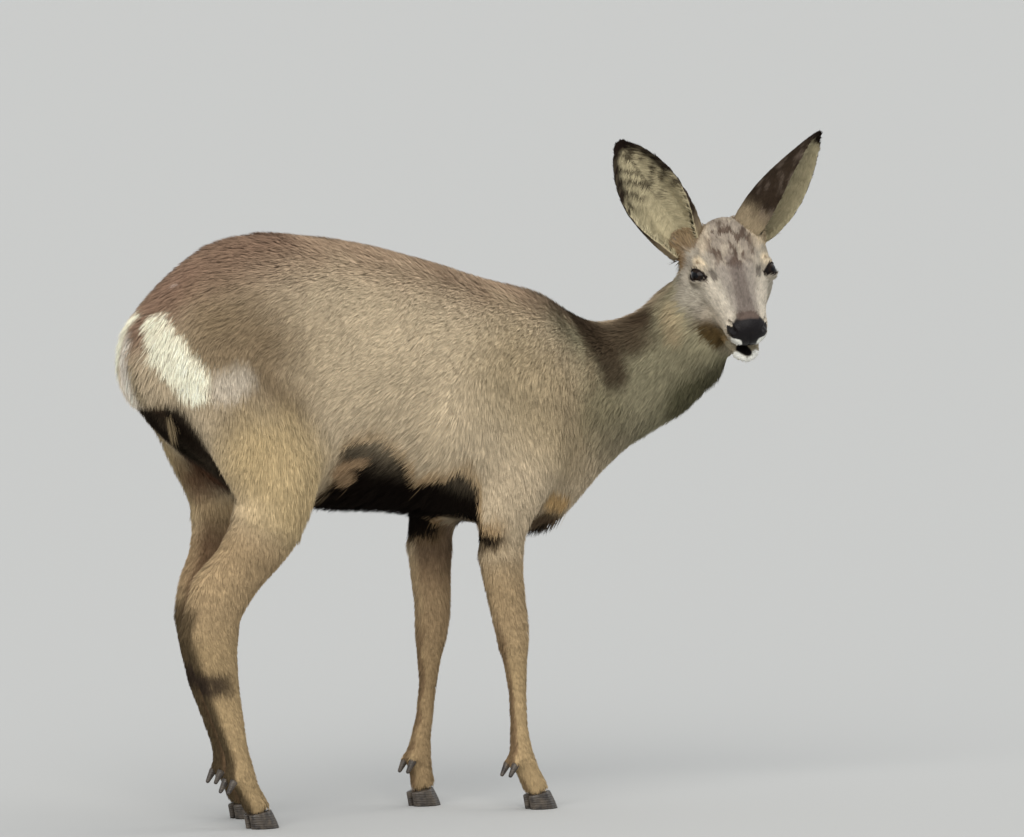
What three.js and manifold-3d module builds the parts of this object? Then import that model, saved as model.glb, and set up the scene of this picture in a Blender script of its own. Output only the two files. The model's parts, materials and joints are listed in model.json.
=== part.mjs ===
// A life-size roe deer doe in her winter coat, standing still with her head turned over her right shoulder.
// Millimetres. +X runs from the rump to the chest, +Y to the animal's left, +Z up, with the ground at Z = 0.
// The flesh is lofted in one piece, out to the tips of the coat, and then parted by thin cuts.

import * as THREE from "three";
import { mergeVertices } from "three/addons/utils/BufferGeometryUtils.js";
import Module from "manifold-3d";

const wasm = await Module();
wasm.setup();

// ---------------------------------------------------------------- driving dimensions

const GAP = 0.3; // clearance between neighbouring pieces
const BLOCK = 6000; // edge of the blank that the parting regions are trimmed from

const RUMP_HEIGHT = 726; // highest point of the croup
const WITHERS_HEIGHT = 652;
const BRISKET_HEIGHT = 344; // lowest point of the chest
const BELLY_HEIGHT = 374;
const BUTTOCK_X = -562; // hindmost point of the trunk
const WITHERS_X = 5;
const BREAST_X = 118; // foremost point of the trunk
const BARREL_HALF_WIDTH = 112;

const HOCK_HEIGHT = 266;
const CARPUS_HEIGHT = 226;
const FETLOCK_HEIGHT = 70;
const STANCE_HALF_WIDTH = 57; // feet from the midline

const HOOF_LENGTH = 42;
const HOOF_HALF_LENGTH = HOOF_LENGTH / 2;
const HOOF_OUTER = 11; // claw width outward of its own middle
const HOOF_INNER = 4; // claw width toward the cleft
const HOOF_CLEFT = 2.4;
const TOE_REACH = 5; // toe ahead of the middle of the foot, beyond half a hoof
const CORONET_HEIGHT = 22; // where horn meets hair, above the sole
const CORONET_SLOPE = 0.2; // rise of the coronet per millimetre forward

const EYE_RADIUS = 13.5;
const EYE_AT = [6, 40, 1]; // in the head's frame, mirrored for the right eye
const DEWCLAW_BACK = 15; // behind, beside and below the middle of the fetlock
const DEWCLAW_ASIDE = 9;
const DEWCLAW_BELOW = 12;
const EAR_LENGTH = 152;
const EAR_HALF_WIDTH = 40.5;
const EAR_WALL = 4.5; // at the root, thinner toward the tip
const EAR_EDGE = 3.2; // least half width, at the tip
const EAR_ROOT = -0.1; // where the ear starts inside the head, as a share of its length
const EAR_TIP = 0.985; // where its last section stands
const EAR_BULB_RADIUS = 27; // mound of flesh that carries the ear
const EAR_BULB_DEPTH = 12; // its middle, below where the ear leaves the head

const HEAD_AT = [260, -107, 660]; // midway between the eyes
const HEAD_YAW = -115; // degrees, from straight ahead toward the right shoulder
const HEAD_PITCH = 24; // degrees, muzzle below the horizontal
const HEAD_ROLL = 5; // degrees, left side raised

const COLOURS = {
  coat: 0x8f7b62,
  neck: 0x85745f,
  face: 0x9d9185,
  rump: 0xb8a888,
  leg: 0x9a7c60,
  ear: 0x6e6258,
  horn: 0x241f1c,
  eye: 0x0b0908,
  nose: 0x1b1a1c,
};

// ---------------------------------------------------------------- solids and cuts

/** A closed three.js geometry as a solid. */
function solid(geometry) {
  const bare = geometry.index ? geometry.toNonIndexed() : geometry.clone();
  bare.deleteAttribute("normal");
  bare.deleteAttribute("uv");
  const merged = mergeVertices(bare, 1e-4);
  const mesh = new wasm.Mesh({
    numProp: 3,
    vertProperties: new Float32Array(merged.attributes.position.array),
    triVerts: new Uint32Array(merged.index.array),
  });
  return new wasm.Manifold(mesh);
}

/** The three.js geometry of a solid. */
function geometryOf(shape) {
  const mesh = shape.getMesh();
  const geometry = new THREE.BufferGeometry();
  geometry.setAttribute("position", new THREE.BufferAttribute(new Float32Array(mesh.vertProperties), 3));
  geometry.setIndex(new THREE.BufferAttribute(new Uint32Array(mesh.triVerts), 1));
  geometry.computeVertexNormals();
  return geometry;
}

/** The space on the inner side of every plane; a plane is { normal, through }. */
function region(planes, grow) {
  let block = solid(new THREE.BoxGeometry(BLOCK, BLOCK, BLOCK));
  for (const { normal, through } of planes) {
    const n = new THREE.Vector3(...normal).normalize();
    const offset = n.dot(new THREE.Vector3(...through));
    block = block.trimByPlane([n.x, n.y, n.z], offset - grow);
  }
  return block;
}

/** The one body of a shape, without the crumbs that a cut leaves beside it. */
function whole(shape) {
  return shape.decompose().reduce((best, piece) => (piece.volume() > best.volume() ? piece : best));
}

/** Parts a body: the share inside the planes, and the rest, a gap apart. */
function partOff(body, planes) {
  return [body.intersect(region(planes, -GAP / 2)), body.subtract(region(planes, GAP / 2))].map(whole);
}

/** The same shape, a gap larger on every side. */
function grown(shape, by = GAP) {
  const box = shape.boundingBox();
  const middle = box.min.map((low, k) => (low + box.max[k]) / 2);
  const factor = box.min.map((low, k) => 1 + (2 * by) / (box.max[k] - low));
  const back = middle.map((m) => -m);
  return shape.translate(back).scale(factor).translate(middle);
}

/** Catmull-Rom value between rows of a table, at a place counted in rows. */
function between(rows, column, place) {
  const last = rows.length - 1;
  const k = Math.min(Math.floor(place), last - 1);
  const f = place - k;
  const [a, b, c, d] = [k - 1, k, k + 1, k + 2].map((i) => rows[Math.max(0, Math.min(last, i))][column]);
  const slopeB = (c - a) / 2;
  const slopeC = (d - b) / 2;
  const f2 = f * f;
  const f3 = f2 * f;
  return (2 * f3 - 3 * f2 + 1) * b + (f3 - 2 * f2 + f) * slopeB + (3 * f2 - 2 * f3) * c + (f3 - f2) * slopeC;
}

/** A closed geometry from rings of equal length, closed at each end by a fan to a tip. */
function skinRings(rings, firstTip, lastTip) {
  const around = rings[0].length;
  const points = [firstTip, ...rings.flat(), lastTip];
  const index = [];
  const at = (ring, k) => 1 + ring * around + (k % around);
  for (let k = 0; k < around; k += 1) {
    index.push(0, at(0, k + 1), at(0, k));
    index.push(points.length - 1, at(rings.length - 1, k), at(rings.length - 1, k + 1));
  }
  for (let ring = 0; ring + 1 < rings.length; ring += 1) {
    for (let k = 0; k < around; k += 1) {
      index.push(at(ring, k), at(ring, k + 1), at(ring + 1, k));
      index.push(at(ring, k + 1), at(ring + 1, k + 1), at(ring + 1, k));
    }
  }
  const positions = new Float32Array(points.flatMap((p) => [p.x, p.y, p.z]));
  if (signedVolume(points, index) < 0) {
    for (let k = 0; k < index.length; k += 3) {
      [index[k], index[k + 1]] = [index[k + 1], index[k]];
    }
  }
  const geometry = new THREE.BufferGeometry();
  geometry.setAttribute("position", new THREE.BufferAttribute(positions, 3));
  geometry.setIndex(index);
  return geometry;
}

/** Volume enclosed by a triangle list, negative where its faces point in. */
function signedVolume(points, index) {
  let sum = 0;
  for (let k = 0; k < index.length; k += 3) {
    const [a, b, c] = [points[index[k]], points[index[k + 1]], points[index[k + 2]]];
    sum += a.dot(b.clone().cross(c)) / 6;
  }
  return sum;
}

const DOME_ANGLE = Math.PI / 4; // where a domed end has its one extra ring

/**
 * A body lofted through stations [x, y, z, up, down, half, exponent].
 * Its sections stand square to the path: `up` lies toward the hint and `down` away from it,
 * `half` is the half width across, and an exponent of 2 gives an ellipse. Each end is a flat face,
 * or a dome as high as its share of the half width.
 */
function loft(stations, { around, steps, hint = [0, 0, 1], domes = [0.5, 0.5] }) {
  const path = new THREE.CatmullRomCurve3(stations.map((s) => new THREE.Vector3(s[0], s[1], s[2])));
  const up = new THREE.Vector3(...hint);
  const last = stations.length - 1;
  const section = (place, shrink, shift) => {
    const t = place / last;
    const along = path.getTangent(t);
    const left = up.clone().cross(along).normalize();
    const top = along.clone().cross(left);
    const middle = path.getPoint(t).addScaledVector(along, shift);
    const [high, low, half, power] = [3, 4, 5, 6].map((column) => between(stations, column, place));
    const ring = [];
    for (let k = 0; k < around; k += 1) {
      const angle = (2 * Math.PI * (k + 0.5)) / around;
      const across = Math.sign(Math.cos(angle)) * Math.abs(Math.cos(angle)) ** (2 / power);
      const rise = Math.sign(Math.sin(angle)) * Math.abs(Math.sin(angle)) ** (2 / power);
      const reach = rise > 0 ? high : low;
      ring.push(
        middle
          .clone()
          .addScaledVector(left, across * half * shrink)
          .addScaledVector(top, rise * reach * shrink),
      );
    }
    return { ring, middle, half };
  };
  const rings = [];
  const firstDome = section(0, 1, 0).half * domes[0];
  const lastDome = section(last, 1, 0).half * domes[1];
  if (firstDome > 0) {
    rings.push(section(0, Math.cos(DOME_ANGLE), -firstDome * Math.sin(DOME_ANGLE)).ring);
  }
  for (let step = 0; step <= steps; step += 1) {
    rings.push(section((last * step) / steps, 1, 0).ring);
  }
  if (lastDome > 0) {
    rings.push(section(last, Math.cos(DOME_ANGLE), lastDome * Math.sin(DOME_ANGLE)).ring);
  }
  return skinRings(rings, section(0, 1, -firstDome).middle, section(last, 1, lastDome).middle);
}

/** Stations mirrored to the other side of the animal. */
function mirrored(stations) {
  return stations.map(([x, y, z, ...rest]) => [x, -y, z, ...rest]);
}

/** Stations moved along X by amounts given at some of them, [station, amount], and in proportion between. */
function shifted(stations, amounts) {
  return stations.map(([x, ...rest], k) => {
    const next = Math.max(1, amounts.findIndex(([station]) => station >= k));
    const [[from, before], [to, after]] = [amounts[next - 1], amounts[next]];
    return [x + THREE.MathUtils.mapLinear(k, from, to, before, after), ...rest];
  });
}

// ---------------------------------------------------------------- trunk

/** A trunk station from its top line, its bottom line, its half width and the level of that width. */
function trunkStation(x, top, bottom, half, power = 2.2, middle = (top + bottom) / 2) {
  return [x, 0, middle, top - middle, middle - bottom, half, power];
}

function trunkBody() {
  return loft(
    [
      trunkStation(BUTTOCK_X + 4, 592, 526, 34, 2),
      trunkStation(BUTTOCK_X + 14, 612, 506, 56, 2),
      trunkStation(BUTTOCK_X + 34, 638, 486, 76, 2),
      trunkStation(-500, 666, 462, 91, 2.1),
      trunkStation(-455, 702, 430, 99, 2.1),
      trunkStation(-403, RUMP_HEIGHT + 1, 404, 103, 2.1),
      trunkStation(-345, RUMP_HEIGHT - 4, 391, 105),
      trunkStation(-286, 716, 384, 107),
      trunkStation(-227, 704, 378, BARREL_HALF_WIDTH - 2),
      trunkStation(-168, 690, BELLY_HEIGHT, BARREL_HALF_WIDTH),
      trunkStation(-108, 671, 364, 109),
      trunkStation(-48, WITHERS_HEIGHT + 4, 352, 100),
      trunkStation(WITHERS_X, WITHERS_HEIGHT - 4, BRISKET_HEIGHT, 90, 2.1),
      trunkStation(45, 629, BRISKET_HEIGHT - 6, 78, 2.1, 492),
      trunkStation(80, 596, BRISKET_HEIGHT, 66, 2, 489),
      trunkStation(BREAST_X - 14, 566, 368, 52, 2, 487),
      trunkStation(BREAST_X, 540, 392, 38, 2, 486),
    ],
    { around: 22, steps: 21, domes: [0.3, 0.3] },
  );
}

function neckBody() {
  return loft(
    [
      [20, 0, 498, 142, 130, 76, 2],
      [75, 0, 500, 132, 124, 70, 2],
      [125, -2, 512, 105, 90, 62, 2],
      [170, -8, 532, 80, 84, 56, 2],
      [208, -24, 562, 60, 86, 52, 2],
      [236, -46, 600, 54, 78, 49, 2],
      [254, -66, 632, 52, 70, 47, 2],
    ],
    { around: 18, steps: 8, domes: [0, 0.3] },
  );
}

// ---------------------------------------------------------------- legs

/** Haunch, gaskin, hock and metatarsus of the right side; up is forward and down is back. */
function hindLeg() {
  return [
    [-449, -58, 612, 68, 72, 34, 2],
    [-448, -66, 560, 92, 80, 40, 2.1],
    [-436, -72, 510, 100, 82, 42, 2.1],
    [-415, -76, 462, 86, 76, 40, 2.1],
    [-402, -77, 420, 70, 68, 38, 2],
    [-408, -75, 380, 55, 58, 34, 2],
    [-430, -70, 338, 42, 48, 30, 2.1],
    [-463, -65, 300, 36, 42, 27, 2.2],
    [-486, -62, HOCK_HEIGHT, 45, 53, 25, 2.3],
    [-484, -61, 230, 36, 41, 22, 2.3],
    [-477, -60, 190, 30, 30, 19, 2.2],
    [-464, -59, 148, 25, 26, 16.5, 2.2],
    [-451, -58, 105, 18, 18, 14.5, 2.2],
    [-441, -STANCE_HALF_WIDTH, FETLOCK_HEIGHT + 3, 18, 20, 16.5, 2.3],
    [-432, -STANCE_HALF_WIDTH, 50, 16, 17, 15.5, 2.3],
    [-421, -STANCE_HALF_WIDTH, 30, 18, 17, 17, 2.3],
    [-414, -STANCE_HALF_WIDTH, 12, 20, 18, 18, 2.3],
  ];
}

/** Shoulder, forearm, carpus and metacarpus of the right side. */
function foreLeg() {
  return [
    [-22, -60, 555, 60, 66, 28, 2],
    [-14, -66, 510, 66, 76, 33, 2.1],
    [-24, -70, 455, 62, 76, 34, 2.1],
    [-44, -70, 405, 50, 62, 32, 2],
    [-60, -67, 362, 39, 45, 29, 2],
    [-60, -64, 325, 32, 36, 25, 2],
    [-54, -61, 285, 28, 32, 24, 2],
    [-46, -59, 250, 26, 27, 22.5, 2.2],
    [-42, -58, CARPUS_HEIGHT, 26, 24.5, 22, 2.4],
    [-38, -57.5, 200, 21, 19.5, 18, 2.3],
    [-33, -57, 165, 14.5, 14.5, 13.5, 2.2],
    [-30, -57, 120, 13, 13.5, 12.5, 2.2],
    [-28, -57, 92, 13.5, 14.5, 13.5, 2.2],
    [-25, -STANCE_HALF_WIDTH, FETLOCK_HEIGHT, 16, 18, 16.5, 2.3],
    [-16, -STANCE_HALF_WIDTH, 48, 15.5, 16.5, 15.5, 2.3],
    [-6, -STANCE_HALF_WIDTH, 29, 17.5, 16.5, 17, 2.3],
    [0, -STANCE_HALF_WIDTH, 12, 19, 17.5, 18, 2.3],
  ];
}

const FETLOCK_STATION = 13;

// How far the left legs stand ahead of the right ones, at some stations from the body down.
const LEFT_HIND_AHEAD = [[0, 30], [4, 28], [6, 48], [8, 76], [10, 60], [16, 52]];
const LEFT_FORE_AHEAD = [[0, 18], [16, -97]];

const LEGS = [
  { end: "hind", side: "right", stations: hindLeg() },
  { end: "hind", side: "left", stations: mirrored(shifted(hindLeg(), LEFT_HIND_AHEAD)) },
  { end: "fore", side: "right", stations: foreLeg() },
  { end: "fore", side: "left", stations: mirrored(shifted(foreLeg(), LEFT_FORE_AHEAD)) },
];

/** The planes that part a leg from the trunk. */
function legRegion(end, side) {
  const out = side === "left" ? 1 : -1;
  if (end === "hind") {
    return [
      { normal: [-0.6, 0, -0.8], through: [-330, 0, 500] },
      { normal: [-1, 0, 0], through: [-305, 0, 0] },
      { normal: [0, 0.91 * out, -0.41], through: [0, 50 * out, 520] },
      { normal: [0, out, 0], through: [0, 6 * out, 0] },
    ];
  }
  return [
    { normal: [0, 0, -1], through: [0, 0, 560] },
    { normal: [1, 0, 0], through: [-160, 0, 0] },
    { normal: [-1, 0, -0.12], through: [48, 0, 460] },
    { normal: [0, 0.91 * out, -0.41], through: [0, 52 * out, 430] },
    { normal: [0, out, 0], through: [0, 20 * out, 0] },
  ];
}

/** Where a leg is divided: each cut is square to the leg at a station. */
const LEG_CUTS = {
  hind: [
    { below: "gaskin", station: 5.1 },
    { below: "hind_cannon", station: 8.6 },
    { below: "hind_pastern", station: 12.6 },
  ],
  fore: [
    { below: "forearm", station: 4.9 },
    { below: "fore_cannon", station: 8.6 },
    { below: "fore_pastern", station: 12.6 },
  ],
};

/** One horn claw standing on its flat sole; outward is +1 or -1 along Y. */
function clawBody(toeX, middleY, outward) {
  const levels = [
    { height: 0, length: HOOF_HALF_LENGTH, width: 1, shift: 0 },
    { height: 0.35, length: HOOF_HALF_LENGTH * 0.93, width: 0.98, shift: -2.5 },
    { height: 0.7, length: HOOF_HALF_LENGTH * 0.85, width: 0.92, shift: -5.5 },
    { height: 1, length: HOOF_HALF_LENGTH * 0.78, width: 0.84, shift: -8 },
  ];
  const around = 10;
  const rings = levels.map(({ height, length, width, shift }) => {
    const ring = [];
    for (let k = 0; k < around; k += 1) {
      const angle = (2 * Math.PI * k) / around;
      const forward = Math.cos(angle);
      const reach = Math.sin(angle) > 0 ? HOOF_OUTER : HOOF_INNER;
      const narrow = forward > 0 ? 1 - 0.42 * forward * forward : 1;
      const x = toeX + forward * length + shift - HOOF_HALF_LENGTH;
      const y = middleY + outward * Math.sin(angle) * reach * width * narrow;
      const crown = CORONET_HEIGHT + CORONET_SLOPE * (x - (toeX - HOOF_HALF_LENGTH));
      ring.push(new THREE.Vector3(x, y, height * crown));
    }
    return ring;
  });
  const middle = (ring) => ring.reduce((sum, p) => sum.add(p), new THREE.Vector3()).divideScalar(around);
  return skinRings(rings, middle(rings[0]), middle(rings.at(-1)));
}

/** A dewclaw: a small blunt cone behind the fetlock, pointing down and back. */
function dewclawBody(x, y, z) {
  return loft(
    [
      [x, y, z, 5.5, 6, 5.5, 2],
      [x - 5, y, z - 8, 4.5, 5, 5, 2],
      [x - 9, y, z - 15, 2.5, 3, 3.2, 2],
    ],
    { around: 6, steps: 1, hint: [1, 0, 0], domes: [0, 0.5] },
  );
}

// ---------------------------------------------------------------- head

/** The head's own frame: x along the muzzle, y to the animal's left, z to the crown. */
function headFrame() {
  const yaw = THREE.MathUtils.degToRad(HEAD_YAW);
  const pitch = THREE.MathUtils.degToRad(HEAD_PITCH);
  const roll = THREE.MathUtils.degToRad(HEAD_ROLL);
  const turn = new THREE.Matrix4().makeRotationZ(yaw);
  turn.multiply(new THREE.Matrix4().makeRotationY(pitch));
  turn.multiply(new THREE.Matrix4().makeRotationX(roll));
  return new THREE.Matrix4().makeTranslation(...HEAD_AT).multiply(turn);
}

const HEAD = headFrame();

/** A geometry or solid of the head's frame, set in its place. */
function onHead(geometry) {
  return geometry.applyMatrix4(HEAD);
}

/** Planes of the head's frame, set in their place. */
function headPlanes(planes) {
  return planes.map(({ normal, through }) => ({
    normal: new THREE.Vector3(...normal).transformDirection(HEAD).toArray(),
    through: new THREE.Vector3(...through).applyMatrix4(HEAD).toArray(),
  }));
}

/** A head station from its profile: top, level of the greatest width, bottom and half width. */
function headStation(x, top, middle, bottom, half, power = 2.2) {
  return [x, 0, middle, top - middle, middle - bottom, half, power];
}

function skullBody() {
  return loft(
    [
      headStation(-94, 24, -12, -46, 30, 2),
      headStation(-84, 45, -14, -62, 42, 2),
      headStation(-64, 52, -18, -72, 50, 2),
      headStation(-40, 51, -20, -75, 56, 2.1),
      headStation(-14, 42, -20, -72, 57, 2.1),
      headStation(6, 32, -20, -68, 50, 2.1),
      headStation(26, 23, -22, -64, 42),
      headStation(48, 14, -24, -60, 35.5),
      headStation(70, 7, -26, -57, 31),
      headStation(90, 3, -28, -55.5, 28.5),
      headStation(104, 0, -28, -52, 26.5),
      headStation(114, -5, -27, -46, 22.5),
      headStation(119.5, -12, -27, -39, 15, 2),
    ],
    { around: 18, steps: 15, domes: [0.4, 0.2] },
  );
}

function jawBody() {
  return loft(
    [
      headStation(-52, -48, -58, -74, 36, 2),
      headStation(-20, -50, -60, -75, 33),
      headStation(20, -52, -62, -73, 29),
      headStation(56, -54, -64, -75, 25),
      headStation(80, -56.5, -66, -78, 21.5),
      headStation(94, -58, -68, -80, 18),
      headStation(101, -61, -68, -77, 12, 2),
    ],
    { around: 10, steps: 5, domes: [0, 0.35] },
  );
}

const JAW_PLANES = headPlanes([
  { normal: [-0.03, 0, -1], through: [60, 0, -56.6] },
  { normal: [1, 0, -0.2], through: [-46, 0, -60] },
]);

const NOSE_PLANES = headPlanes([
  { normal: [0.93, 0, 0.12], through: [109.5, 0, -20] },
  { normal: [0, 0, 1], through: [0, 0, -43] },
]);

/** The cheek and nape side of the cut between neck and head. */
const HEAD_PLANES = [{ normal: [0.42, -0.74, 0.52], through: [256, -52, 630] }];

/** Half width of the ear's opening along its length, from 0 where it leaves the head to 1 at the tip. */
function earHalfWidth(t) {
  const spread = Math.sin(Math.PI * (0.24 + 0.6 * t)) ** 0.8;
  const tip = Math.sqrt(1 - Math.max(0, t) ** 5);
  return EAR_HALF_WIDTH * spread * tip;
}

/** How far the ear wraps round its opening, as an angle each side of its spine. */
function earWrap(t) {
  return THREE.MathUtils.degToRad(THREE.MathUtils.lerp(138, 56, Math.max(0, t) ** 0.9));
}

/** A cupped ear: its root, its direction from root to tip, the way it opens, and how far it is thickened. */
function earBody(root, toTip, opening, extra = 0) {
  const axis = new THREE.Vector3(...toTip).normalize();
  const facing = new THREE.Vector3(...opening);
  facing.addScaledVector(axis, -facing.dot(axis)).normalize();
  const across = axis.clone().cross(facing);
  const levels = 8;
  const arc = 6;
  const rings = [];
  for (let level = 0; level <= levels; level += 1) {
    const t = THREE.MathUtils.lerp(EAR_ROOT, EAR_TIP, level / levels);
    const wrap = earWrap(t);
    const outer = Math.max(earHalfWidth(t), EAR_EDGE) / Math.sin(Math.min(wrap, Math.PI / 2));
    const wall = THREE.MathUtils.lerp(EAR_WALL, EAR_WALL * 0.62, t);
    const centre = new THREE.Vector3(...root)
      .addScaledVector(axis, t * EAR_LENGTH - (level === 0 ? extra : 0))
      .addScaledVector(facing, outer - (outer * (1 - Math.cos(wrap))) / 2);
    const reach = wrap + extra / outer;
    const point = (share, radius) =>
      centre
        .clone()
        .addScaledVector(facing, -radius * Math.cos(reach * share))
        .addScaledVector(across, radius * Math.sin(reach * share));
    const shares = Array.from({ length: arc + 1 }, (_, k) => (2 * k) / arc - 1);
    const inner = Math.max(outer - wall - extra, 0.5);
    const backs = shares.map((u) => point(u, outer + extra));
    const insides = shares.toReversed().map((u) => point(u, inner));
    rings.push([...backs, ...insides]);
  }
  const middle = (ring) => ring.reduce((sum, p) => sum.add(p), new THREE.Vector3()).divideScalar(ring.length);
  const spine = (ring) => ring[arc / 2].clone().lerp(ring[ring.length - 1 - arc / 2], 0.5);
  return skinRings(rings, spine(rings[0]), middle(rings.at(-1)).addScaledVector(axis, 1));
}

// The ears are given in the animal's frame. The right one faces forward, the left one out to its side.
const EARS = [
  { side: "right", root: [-60, -51, 18], tip: [-0.44, 0.33, 0.84], opens: [-0.62, -0.78, 0] },
  { side: "left", root: [-60, 34, 29], tip: [0.51, -0.29, 0.81], opens: [0.6, -0.78, 0] },
];

// ---------------------------------------------------------------- tail and tuft

function tailBody() {
  return loft(
    [
      [-540, 0, 618, 12, 12, 15, 2],
      [-556, 0, 598, 10, 12, 13, 2],
      [-562, 0, 574, 7, 8, 9, 2],
    ],
    { around: 8, steps: 3, hint: [-1, 0, 0.3], domes: [0, 0.6] },
  );
}

/** The long tuft that a doe's winter coat grows below the tail. */
function tuftBody() {
  return loft(
    [
      [-540, 0, 548, 9, 12, 13, 2],
      [-532, 0, 516, 8, 11, 11, 2],
      [-520, 0, 486, 7, 9, 9, 2],
      [-510, 0, 462, 4.5, 5, 6, 2],
      [-506, 0, 446, 2, 2, 2.6, 2],
    ],
    { around: 8, steps: 4, hint: [-1, 0, 0], domes: [0, 0.8] },
  );
}

// ---------------------------------------------------------------- assembly

const object = new THREE.Group();
const model = new THREE.Group();
object.add(model);

/** Adds one named piece to the animal. */
function add(name, shape, colour, roughness = 0.9) {
  const material = new THREE.MeshStandardMaterial({ color: colour, roughness, metalness: 0 });
  const mesh = new THREE.Mesh(shape.isBufferGeometry ? shape : geometryOf(shape), material);
  mesh.name = name;
  model.add(mesh);
}

let flesh = solid(trunkBody()).add(solid(neckBody()));
flesh = flesh.add(solid(onHead(skullBody()))).add(solid(onHead(jawBody())));
for (const leg of LEGS) {
  flesh = flesh.add(solid(loft(leg.stations, { around: 10, steps: 17, hint: [1, 0, 0], domes: [0.3, 0] })));
}

// Pieces set into the flesh: eyes, ears, tail and tuft.
for (const [side, out] of Object.entries({ left: 1, right: -1 })) {
  const ball = new THREE.SphereGeometry(EYE_RADIUS, 10, 7);
  ball.translate(EYE_AT[0], EYE_AT[1] * out, EYE_AT[2]);
  const eye = solid(onHead(ball));
  flesh = flesh.subtract(grown(eye));
  add(`eye_${side}`, eye, COLOURS.eye, 0.08);
}
for (const { side, root, tip, opens } of EARS) {
  const place = new THREE.Vector3(...root).applyMatrix4(HEAD).toArray();
  const below = new THREE.Vector3(...tip).setLength(-EAR_BULB_DEPTH).add(new THREE.Vector3(...place));
  const bulb = new THREE.SphereGeometry(EAR_BULB_RADIUS, 9, 6).translate(...below);
  const ear = solid(earBody(place, tip, opens));
  flesh = flesh.add(solid(bulb));
  flesh = whole(flesh.subtract(solid(earBody(place, tip, opens, GAP))));
  add(`ear_${side}`, ear, COLOURS.ear);
}
const tail = solid(tailBody());
const tuft = solid(tuftBody());
flesh = flesh.subtract(grown(tail)).subtract(grown(tuft));
add("tail", tail, COLOURS.rump);
add("rump_tuft", tuft, COLOURS.rump);

// Legs: parted from the trunk, then divided at the joints.
for (const { end, side, stations } of LEGS) {
  let leg;
  [leg, flesh] = partOff(flesh, legRegion(end, side));
  const path = new THREE.CatmullRomCurve3(stations.map((s) => new THREE.Vector3(s[0], s[1], s[2])));
  let name = end === "hind" ? "thigh" : "shoulder";
  for (const { below, station } of LEG_CUTS[end]) {
    const t = station / (stations.length - 1);
    const cut = { normal: path.getTangent(t).toArray(), through: path.getPoint(t).toArray() };
    const [lower, upper] = partOff(leg, [cut]);
    add(`${name}_${side}`, upper, name === "thigh" || name === "shoulder" ? COLOURS.coat : COLOURS.leg);
    leg = lower;
    name = below;
  }
  const foot = path.getPoint(1);
  const toeX = foot.x + HOOF_HALF_LENGTH + TOE_REACH;
  const coronet = CORONET_HEIGHT + 1.5 * GAP;
  const overHoof = { normal: [-CORONET_SLOPE, 0, 1], through: [toeX - HOOF_HALF_LENGTH, 0, coronet] };
  leg = leg.intersect(region([overHoof], 0));
  const out = side === "left" ? 1 : -1;
  for (const [part, outward] of Object.entries({ outer: out, inner: -out })) {
    const middleY = foot.y + outward * (HOOF_CLEFT / 2 + HOOF_INNER);
    add(`${end}_hoof_${part}_${side}`, clawBody(toeX, middleY, outward), COLOURS.horn, 0.45);
    const [x, y, z] = stations[FETLOCK_STATION];
    const dewclaw = solid(dewclawBody(x - DEWCLAW_BACK, y + outward * DEWCLAW_ASIDE, z - DEWCLAW_BELOW));
    leg = leg.subtract(grown(dewclaw));
    add(`${end}_dewclaw_${part}_${side}`, dewclaw, COLOURS.horn, 0.5);
  }
  add(`${name}_${side}`, leg, COLOURS.leg);
}

// Head and neck.
let front;
[front, flesh] = partOff(flesh, [{ normal: [0.82, 0, 0.57], through: [92, 0, 520] }]);
let [head, neck] = partOff(front, HEAD_PLANES);
let jaw;
let nose;
[jaw, head] = partOff(head, JAW_PLANES);
[nose, head] = partOff(head, NOSE_PLANES);
add("head", head, COLOURS.face);
add("lower_jaw", jaw, COLOURS.face);
add("nose_pad", nose, COLOURS.nose, 0.35);
add("neck", neck, COLOURS.neck);

// Trunk.
let [rump, body] = partOff(flesh, [{ normal: [-1, 0, 0], through: [-400, 0, 0] }]);
let [chest, barrel] = partOff(body, [{ normal: [1, 0, 0], through: [-120, 0, 0] }]);
add("rump", rump, COLOURS.coat);
add("barrel", barrel, COLOURS.coat);
add("chest", chest, COLOURS.coat);

// The origin is the middle of the box that the animal fills, at ground level.
const box = new THREE.Box3().setFromObject(object);
model.position.set(-(box.min.x + box.max.x) / 2, -(box.min.y + box.max.y) / 2, -box.min.z);

export default object;
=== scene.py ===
"""Dresses the life-size roe deer doe: skin, coat, ears, eyes, nose and horn, then floor, light and camera.

Sizes and places are millimetres in the animal's own frame: +X from the rump to the chest, +Y to its left,
+Z up, with the ground at zero. AnimalFrame sets them into the shared frame, in metres.
"""

import json
import logging
import math
from dataclasses import dataclass, field, replace
from enum import Enum

import bmesh
import bpy
import numpy as np
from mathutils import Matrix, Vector
from mathutils.bvhtree import BVHTree
from mathutils.kdtree import KDTree

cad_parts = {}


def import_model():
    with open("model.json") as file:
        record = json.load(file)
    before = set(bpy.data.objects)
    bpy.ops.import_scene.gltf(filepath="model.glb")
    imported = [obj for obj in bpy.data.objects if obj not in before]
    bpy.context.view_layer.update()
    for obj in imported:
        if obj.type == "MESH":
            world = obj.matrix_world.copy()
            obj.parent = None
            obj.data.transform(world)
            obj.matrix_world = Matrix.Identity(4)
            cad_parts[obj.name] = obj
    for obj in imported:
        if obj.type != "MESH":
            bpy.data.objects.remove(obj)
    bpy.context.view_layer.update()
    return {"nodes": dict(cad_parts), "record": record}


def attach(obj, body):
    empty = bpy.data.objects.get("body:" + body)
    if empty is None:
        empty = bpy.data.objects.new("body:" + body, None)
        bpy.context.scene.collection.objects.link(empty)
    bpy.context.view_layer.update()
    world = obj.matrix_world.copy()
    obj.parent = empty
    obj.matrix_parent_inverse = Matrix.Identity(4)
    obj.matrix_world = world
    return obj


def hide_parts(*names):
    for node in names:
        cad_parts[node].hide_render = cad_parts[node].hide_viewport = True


LOG = logging.getLogger("roe_deer")
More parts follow.
